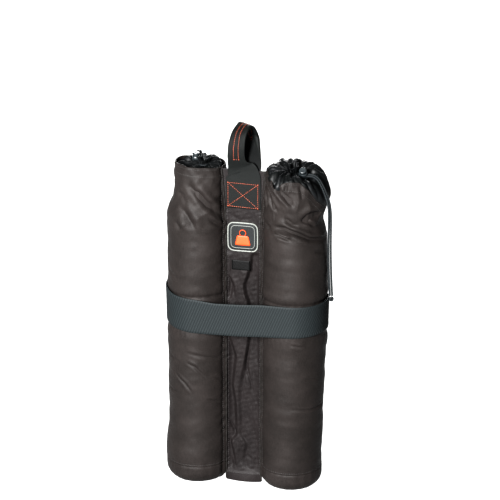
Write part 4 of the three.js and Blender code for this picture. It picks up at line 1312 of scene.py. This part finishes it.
# %% Stitch tree
stitch_tree, given, result = new_tree("stitch_rows", [
    ("Pitch", "NodeSocketFloat"), ("Length", "NodeSocketFloat"), ("Thread", "NodeSocketFloat"),
    ("Seed", "NodeSocketInt"), ("Finish", "NodeSocketMaterial")])
rows = add(stitch_tree, "GeometryNodeMeshToCurve", {}, {"Mesh": given["Geometry"]})
steps = add(stitch_tree, "GeometryNodeCurveToPoints", {"mode": "LENGTH"},
            {"Curve": rows.outputs[0], "Length": given["Pitch"]})
ball = add(stitch_tree, "GeometryNodeMeshUVSphere", {"Segments": 8, "Rings": 5, "Radius": 0.5})
shape = add(stitch_tree, "ShaderNodeCombineXYZ", {}, {0: given["Thread"], 1: given["Thread"],
                                                      2: given["Length"]})
spindle = add(stitch_tree, "GeometryNodeTransform", {}, {"Geometry": ball.outputs[0],
                                                         "Scale": shape.outputs[0]})
vary = add(stitch_tree, "FunctionNodeRandomValue", {"data_type": "FLOAT", 2: 0.86, 3: 1.08},
           {"Seed": given["Seed"]})
placed = add(stitch_tree, "GeometryNodeInstanceOnPoints", {}, {
    "Points": steps.outputs["Points"], "Instance": spindle.outputs[0], "Rotation": steps.outputs["Rotation"],
    "Scale": vary.outputs[1]})
realized = add(stitch_tree, "GeometryNodeRealizeInstances", {}, {0: placed.outputs[0]})
painted = add(stitch_tree, "GeometryNodeSetMaterial", {},
              {"Geometry": realized.outputs[0], "Material": given["Finish"]})
stitch_tree.links.new(painted.outputs[0], result.inputs[0])


def stitch_rows(name, lines, body, thread, slot, pitch=3.0, length=2.2, width=0.7, seed=1):
    """Stitches along several lines of points in mm, as one mesh on one body."""
    points, edges = [], []
    for line in lines:
        edges += [(len(points) + k, len(points) + k + 1) for k in range(len(line) - 1)]
        points += [tuple(place * MM) for place in np.asarray(line)]
    mesh = bpy.data.meshes.new(name)
    mesh.from_pydata(points, edges, [])
    piece = bpy.data.objects.new(name, mesh)
    bpy.context.collection.objects.link(piece)
    run_tree(piece, stitch_tree, Pitch=pitch * MM, Length=length * MM, Thread=width * MM, Seed=seed,
             Finish=thread)
    return dress(piece, thread, body, slot)


def straight(a, b, step=1.0):
    count = max(int(np.linalg.norm(np.subtract(b, a)) / step), 2)
    return np.linspace(a, b, count)


# %% Orange stitches
FOOT_X = (-22.3, 21.0)
FOOT_Z = (425.8, 460.6)


def boxed_cross(y, turned=1):
    """A rectangle with both diagonals on a plane across y, as six lines of points."""
    (left, right), (low, high) = FOOT_X, FOOT_Z
    a, b, c, d = ((turned * x, y, z) for x, z in ((left, low), (right, low - 1.2), (right, high - 0.8),
                                                  (left, high)))
    return [straight(*pair) for pair in ((a, b), (b, c), (c, d), (d, a), (a, c), (b, d))]


front_cross = stitch_rows("handle_front_cross", boxed_cross(-16.25), "root", orange_thread,
                          "handle_webbing", seed=3)
rear_cross = stitch_rows("handle_rear_cross", boxed_cross(-9.85, -1), "root", orange_thread,
                         "handle_webbing", seed=4)
GRIP_START = 7.1
grip_lines = []
for face, stop, count in ((1, 13.6, 160), (-1, 13.0, 150)):
    grip_at = np.linspace(GRIP_START, stop, count)
    rows = [handle_surface(grip_at, offset, face) for offset in (-3.6, 3.4)]
    foot = handle_surface(np.full(8, GRIP_START), np.linspace(-3.6, 3.4, 8), face)
    tip = handle_surface(np.array([stop + 0.45]), 0.0, face)[0]
    grip_lines += [*rows, foot, *[straight(row[-1], tip) for row in rows]]
grip_rows = stitch_rows("handle_grip_rows", grip_lines, "handle", orange_thread, "handle_webbing",
                        pitch=2.9)

# %% Black stitches
def sleeve_row(side, theta, z, lift=0.15):
    """A line of points on a sleeve's outer face."""
    relief = sleeve_relief(side, theta, z)
    return sleeve_points(side, theta, z, relief + lift)


seam_lines = []
for side, sign in (("left", -1), ("right", 1)):
    z = np.linspace(32, 474, 300)
    seam_at = table(z, TUBES[side]["seam"], 10)
    for away in (5.2, 171.0 if side == "left" else -171.0):
        seam_lines.append(sleeve_row(side, seam_at + (sign if away < 90 else 1) * away, z))
    theta = np.linspace(-180, 180, 200)
    rim = around(theta, TUBES[side]["rim"], 3.0)
    for drop in (2.2, 11.5):
        seam_lines.append(sleeve_row(side, theta, rim - drop, 0.45))
    seam_lines.append(sleeve_row(side, theta, np.full_like(theta, BASE_SEAM_Z + 2.5)))
sleeve_stitches = stitch_rows("sleeve_stitches", seam_lines, "root", black_thread, "tube_fabric",
                              pitch=3.2, length=2.4, width=0.6, seed=7)


def web_row(x, z, lift=0.15):
    x, z = np.broadcast_arrays(np.asarray(x, float), np.asarray(z, float))
    return np.stack([x, WEB_FRONT - web_relief(x, z) - lift, z], axis=-1)


z = np.linspace(18, 476, 320)
x = np.linspace(-24, 24, 60)
web_lines = [web_row(sign * (seam_x(1, z) - 2.6), z) for sign in (-1, 1)]
web_lines += [web_row(x, HEM_H - 1.4)]
web_stitches = stitch_rows("web_stitches", web_lines, "root", black_thread, "web_fabric", pitch=3.2,
                           length=2.4, width=0.6, seed=9)
print("stitches", sum(len(p.data.polygons) for p in (front_cross, rear_cross, grip_rows, sleeve_stitches,
                                                     web_stitches)), "faces")

# %% [markdown]
# ## Badge and label
# The badge is an embroidered patch: a stiff dark field with a thick overlocked edge in pale thread.
# Its picture here is a plain scale weight. The label under it is a folded scrap of black satin tape.
# Both are slabs made from an outline: rings shrink from the edge inwards, front and back.

# %% Slabs
def rounded_outline(width, height, radius, per_corner=10, taper=0.0):
    """Points round a rounded rectangle, anticlockwise; taper narrows its top by a share."""
    outline = []
    for k, (sx, sz) in enumerate(((1, -1), (1, 1), (-1, 1), (-1, -1))):
        for angle in np.radians(np.linspace(-90 + 90 * k, 90 * k, per_corner)):
            outline.append((sx * (width / 2 - radius) + radius * math.cos(angle),
                            sz * (height / 2 - radius) + radius * math.sin(angle)))
    outline = np.array(outline)
    outline[:, 0] *= 1 - taper * (outline[:, 1] / height + 0.5)
    return outline


def slab(name, outline, middle, back_y, thickness, crown=0.3, rings=6):
    """A thin closed slab standing across Y: outline in (x, z) about middle, facing forward."""
    rows = []
    for share in np.linspace(0.04, 1, rings):
        rows.append((share, back_y - thickness - crown * (1 - share**4)))
    rows += [(1.0, back_y - thickness * 0.5), (0.99, back_y), (0.5, back_y), (0.04, back_y)]
    points = np.array([np.stack([middle[0] + share * outline[:, 0], np.full(len(outline), y),
                                 middle[1] + share * outline[:, 1]], axis=-1) for share, y in rows])
    uv = np.concatenate([points, points[:, :1]], axis=1)[..., [0, 2]]
    piece = grid_piece(name, points, uv, ring=True, ends=True)
    face_outwards(piece)
    return piece


def embroidery(name, dark, light):
    """Satin stitch: close parallel threads with a silky shine across them."""
    material, tree, shader = new_material(name, **{"Roughness": 0.5, "Specular IOR Level": 0.25})
    uv = add(tree, "ShaderNodeTexCoord").outputs["UV"]
    rows = threads(tree, uv, 400, 0.9)
    fray = add(tree, "ShaderNodeTexNoise", {"Scale": 1300, "Detail": 2}, {"Vector": uv})
    tone = add(tree, "ShaderNodeMath", {"operation": "MULTIPLY"}, {0: rows, 1: fray.outputs[0]})
    tree.links.new(mix_colours(tree, range_of(tree, tone.outputs[0], 0.1, 0.6), dark, light),
                   shader.inputs["Base Color"])
    tree.links.new(range_of(tree, rows, 0, 1, 0.62, 0.42), shader.inputs["Roughness"])
    bump = add(tree, "ShaderNodeBump", {"Strength": 0.6, "Distance": 0.0003}, {"Height": tone.outputs[0]})
    tree.links.new(bump.outputs["Normal"], shader.inputs["Normal"])
    return material


# %% Badge pieces
pale_thread = embroidery("pale_grey_embroidery", "#484a47", "#62635f")
orange_fill = embroidery("orange_embroidery", "#7e2b0d", "#983b14")
field_cloth = coated_polyester("badge_twill_field", "#131414", "#1d1e1f", 0.6)
satin_label = coated_polyester("black_satin_label", "#060606", "#0b0b0b", 0.5)
BADGE_AT = (-1.0, 380.0)
BADGE_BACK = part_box("badge_patch")[1].y / MM
badge_edge = rounded_outline(42.6, 41.6, 8)
field = slab("badge_field", badge_edge, BADGE_AT, BADGE_BACK, 0.9, 0.1)
edge_line = np.stack([BADGE_AT[0] + badge_edge[:, 0], np.full(len(badge_edge), BADGE_BACK - 0.8),
                      BADGE_AT[1] + badge_edge[:, 1]], axis=-1)
edge_line = curve_through(np.vstack([edge_line, edge_line[:1]])[::2], 14)
swell = 1.0 + 0.1 * np.sin(2 * np.pi * run_along(edge_line) / 1.6)
edge = bar("badge_overlock_edge", edge_line, swell, sides=10, hint=(0, 1, 0), flat=1.1)
inner_edge = rounded_outline(34, 33, 5.5)
inner_line = np.stack([BADGE_AT[0] + inner_edge[:, 0], np.full(len(inner_edge), BADGE_BACK - 1.05),
                       BADGE_AT[1] + inner_edge[:, 1]], axis=-1)
inner_line = curve_through(np.vstack([inner_line, inner_line[:1]])[::2], 10)
inner = bar("badge_inner_line", inner_line, 0.45, sides=8, hint=(0, 1, 0))
weight = slab("badge_weight", rounded_outline(23, 14.5, 2.2, taper=0.28), (BADGE_AT[0], BADGE_AT[1] - 5.2),
              BADGE_BACK - 0.9, 0.5, 0.25)
loop_turn = np.radians(np.linspace(-50, 230, 40))
loop_line = np.stack([BADGE_AT[0] + 4.6 * np.cos(loop_turn), np.full(40, BADGE_BACK - 1.15),
                      BADGE_AT[1] + 6.2 + 4.6 * np.sin(loop_turn)], axis=-1)
weight_loop = bar("badge_weight_loop", loop_line, 1.35, sides=10, hint=(0, 1, 0), flat=0.5)
label = slab("woven_satin_label", rounded_outline(26.6, 14.6, 0.8), (-4.0, 337.0),
             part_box("woven_label")[1].y / MM, 0.55, 0.15)
dress(field, field_cloth, "root", "badge", "badge_patch")
dress(edge, pale_thread, "root", "badge")
dress(inner, pale_thread, "root", "badge")
dress(weight, orange_fill, "root", "badge")
dress(weight_loop, orange_fill, "root", "badge")
dress(label, satin_label, "root", "label", "woven_label")
print("badge", [round(v * 1000) for v in edge.dimensions], "mm, label",
      [round(v * 1000) for v in label.dimensions], "mm")

# %% [markdown]
# ## The cord locks
# A cord lock is a barrel with a cross slot, a spring, and a button that carries the same slot. At
# rest the spring pushes the button out, and the two slots grip the strands between them. Each
# round piece is turned from a profile about its own axis, and the slot is then cut through.

# %% Turned pieces
def turned(name, profile, place, axis, columns=64):
    """A closed solid of revolution from (radius, height) rows about an axis through place."""
    tilt = np.array(Vector((0, 0, 1)).rotation_difference(Vector(axis)).to_matrix())
    angle = np.linspace(0, 2 * np.pi, columns, endpoint=False)
    radius, height = np.array(profile, float).T
    local = np.stack([radius[:, None] * np.cos(angle), radius[:, None] * np.sin(angle),
                      height[:, None] + 0 * angle], axis=-1)
    points = local @ tilt.T + np.array(place)
    run = run_along(np.array(profile, float))
    around_run = np.linspace(0, 2 * np.pi * radius.max(), columns + 1)
    uv = np.stack(np.broadcast_arrays(around_run[None], run[:, None]), axis=-1)
    piece = grid_piece(name, points, uv, ring=True, ends=True)
    face_outwards(piece)
    return piece


def cut_slot(piece, place, axis, along, across, rise=0.0, reach=12):
    """Cuts a slot for two strands lying side by side through a piece, taller upwards by rise."""
    place, along = np.array(place), np.array(along)
    angle = np.linspace(0, 2 * np.pi, 32, endpoint=False)
    lobes = np.where(np.cos(angle)[:, None] > 0, 1, -1) * STRAND_OFFSET * np.array(across)
    up = np.array(axis)
    ring = lobes + 1.72 * (np.cos(angle)[:, None] * np.array(across) + np.sin(angle)[:, None] * up)
    ring = ring + rise * (np.sin(angle) > 0.01)[:, None] * up
    points = np.array([place + ring - reach * along, place + ring + reach * along])
    cutter = grid_piece("slot_cutter", points, np.zeros((2, 33, 2)), ring=True, ends=True)
    face_outwards(cutter)
    settle(piece, ("BOOLEAN", {"operation": "DIFFERENCE", "object": cutter, "solver": "EXACT"}))
    bpy.data.objects.remove(cutter)
    flat = piece.data
    flat.polygons.foreach_set("use_smooth", np.zeros(len(flat.polygons), bool))
    settle(piece, ("BEVEL", {"width": 0.12 * MM, "segments": 2, "limit_method": "ANGLE", "angle_limit": 0.7}))


BARREL_HIGH, BARREL_LOW, BARREL_FLOOR = 5.5, -8.8, 1.4
BARREL = [
    (0.3, BARREL_LOW), (4.2, BARREL_LOW), (5.3, BARREL_LOW + 0.3), (5.9, BARREL_LOW + 1.1),
    (6.0, BARREL_LOW + 2.2), (6.0, -5.2), (5.7, -5.0), (5.7, -4.4), (6.0, -4.2), (6.0, -3.4), (5.7, -3.2),
    (5.7, -2.6), (6.0, -2.4), (6.0, 3.4), (5.95, 4.9), (5.7, BARREL_HIGH), (5.0, BARREL_HIGH), (4.9, 5.2),
    (4.9, BARREL_LOW + BARREL_FLOOR), (0.3, BARREL_LOW + BARREL_FLOOR),
]
CAP_LOW, CAP_HIGH = 8.9, 10.7
PRESS = 3.2
BUTTON = [
    (0.3, -3.7), (4.2, -3.7), (4.6, -3.4), (4.6, CAP_LOW - 0.2), (4.7, CAP_LOW), (5.2, CAP_LOW),
    (5.4, CAP_LOW + 0.3), (5.4, CAP_LOW + 0.9), (5.1, CAP_HIGH - 0.35), (4.5, CAP_HIGH - 0.05),
    (3.6, CAP_HIGH), (2.2, CAP_HIGH - 0.3), (0.3, CAP_HIGH - 0.45),
]
LOCKS = {
    "right": ((84, -4, 476), (0, -math.sin(LOCK_TILT), math.cos(LOCK_TILT)), (1, 0, 0),
              (0, math.cos(LOCK_TILT), math.sin(LOCK_TILT))),
    "left": ((-77, 15, 480), (0, 0, 1), (0, 1, 0), (1, 0, 0)),
}
for side, (place, axis, along, across) in LOCKS.items():
    barrel = turned(side + "_lock_body", BARREL, place, axis)
    button = turned(side + "_lock_press", BUTTON, place, axis)
    cut_slot(barrel, place, axis, along, across)
    cut_slot(button, place, axis, along, across, rise=PRESS)
    dress(barrel, acetal, side + "_lock", "lock_plastic", side + "_lock_barrel")
    dress(button, acetal, side + "_button", "lock_plastic", side + "_lock_button")
    print(side, "lock", len(barrel.data.polygons) + len(button.data.polygons), "faces")

# %% [markdown]
# Each spring is a short coil on the barrel's floor.

# %% Springs
SPRING_R, SPRING_WIRE = 3.0, 0.6
SPRING_LOW, SPRING_TURNS, SPRING_H = -6.75, 2.5, 2.1
for side, (place, axis, along, across) in LOCKS.items():
    turns = np.linspace(0, 2 * np.pi * SPRING_TURNS, 90)
    up, sidewards = np.array(axis), np.cross(axis, along)
    climb = SPRING_LOW + SPRING_H * np.linspace(0, 1, 90)
    spokes = np.cos(turns)[:, None] * np.array(along) + np.sin(turns)[:, None] * sidewards
    coil = np.array(place) + SPRING_R * spokes + climb[:, None] * up
    spring = bar(side + "_lock_coil", coil, SPRING_WIRE / 2, sides=8, hint=axis)
    dress(spring, spring_steel, side + "_lock", "spring_steel", side + "_lock_spring")
    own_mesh(spring)

# %% [markdown]
# ## Floor and light
# A bag like this is shown on a white glowing table: a sheet of acrylic lit from below, so that no
# hard shadow lies on it. One softbox at the front, a little above the bag, gives each tube its
# bright band and leaves its sides dark. A wider and weaker one stands behind, and a faint one hangs
# above. Contrast comes from the ratio between the front light and the room, so the room is weak.

# %% Floor and light
floor_mesh = bpy.data.meshes.new("studio_floor")
floor_mesh.from_pydata([(-6, -6, 0), (6, -6, 0), (6, 6, 0), (-6, 6, 0)], [], [(0, 1, 2, 3)])
floor = bpy.data.objects.new("studio_floor", floor_mesh)
bpy.context.collection.objects.link(floor)
acrylic, tree, shader = new_material("lit_acrylic_table", **{
    "Roughness": 0.9, "Specular IOR Level": 0.1, "Emission Color": (1, 1, 1, 1), "Emission Strength": 0.93})
grain = add(tree, "ShaderNodeTexNoise", {"Scale": 300}, {"Vector": add(tree,
    "ShaderNodeTexCoord").outputs["Object"]})
tree.links.new(mix_colours(tree, grain.outputs[0], "#2a2a2a", "#303030"), shader.inputs["Base Color"])
floor_mesh.materials.append(acrylic)
world = bpy.data.worlds.new("white_room")
world.use_nodes = True
world.node_tree.nodes["Background"].inputs["Color"].default_value = (1, 1, 1, 1)
world.node_tree.nodes["Background"].inputs["Strength"].default_value = 0.2
bpy.context.scene.world = world


def softbox(name, bearing, rise, distance, size, power):
    data = bpy.data.lights.new(name, "AREA")
    data.shape = "RECTANGLE"
    data.size, data.size_y = size
    data.energy = power
    lamp = bpy.data.objects.new(name, data)
    bpy.context.collection.objects.link(lamp)
    a, e = math.radians(bearing), math.radians(rise)
    away = Vector((math.sin(a) * math.cos(e), -math.cos(a) * math.cos(e), math.sin(e)))
    lamp.location = LOOK_AT + away * distance
    lamp.rotation_euler = away.to_track_quat("Z", "Y").to_euler()
    return lamp


softbox("front_softbox", -8, 20, 2.4, (0.5, 0.8), 400)
softbox("rear_softbox", 190, 8, 2.6, (1.4, 1.8), 120)
softbox("top_softbox", 0, 88, 2.2, (1.6, 1.6), 8)
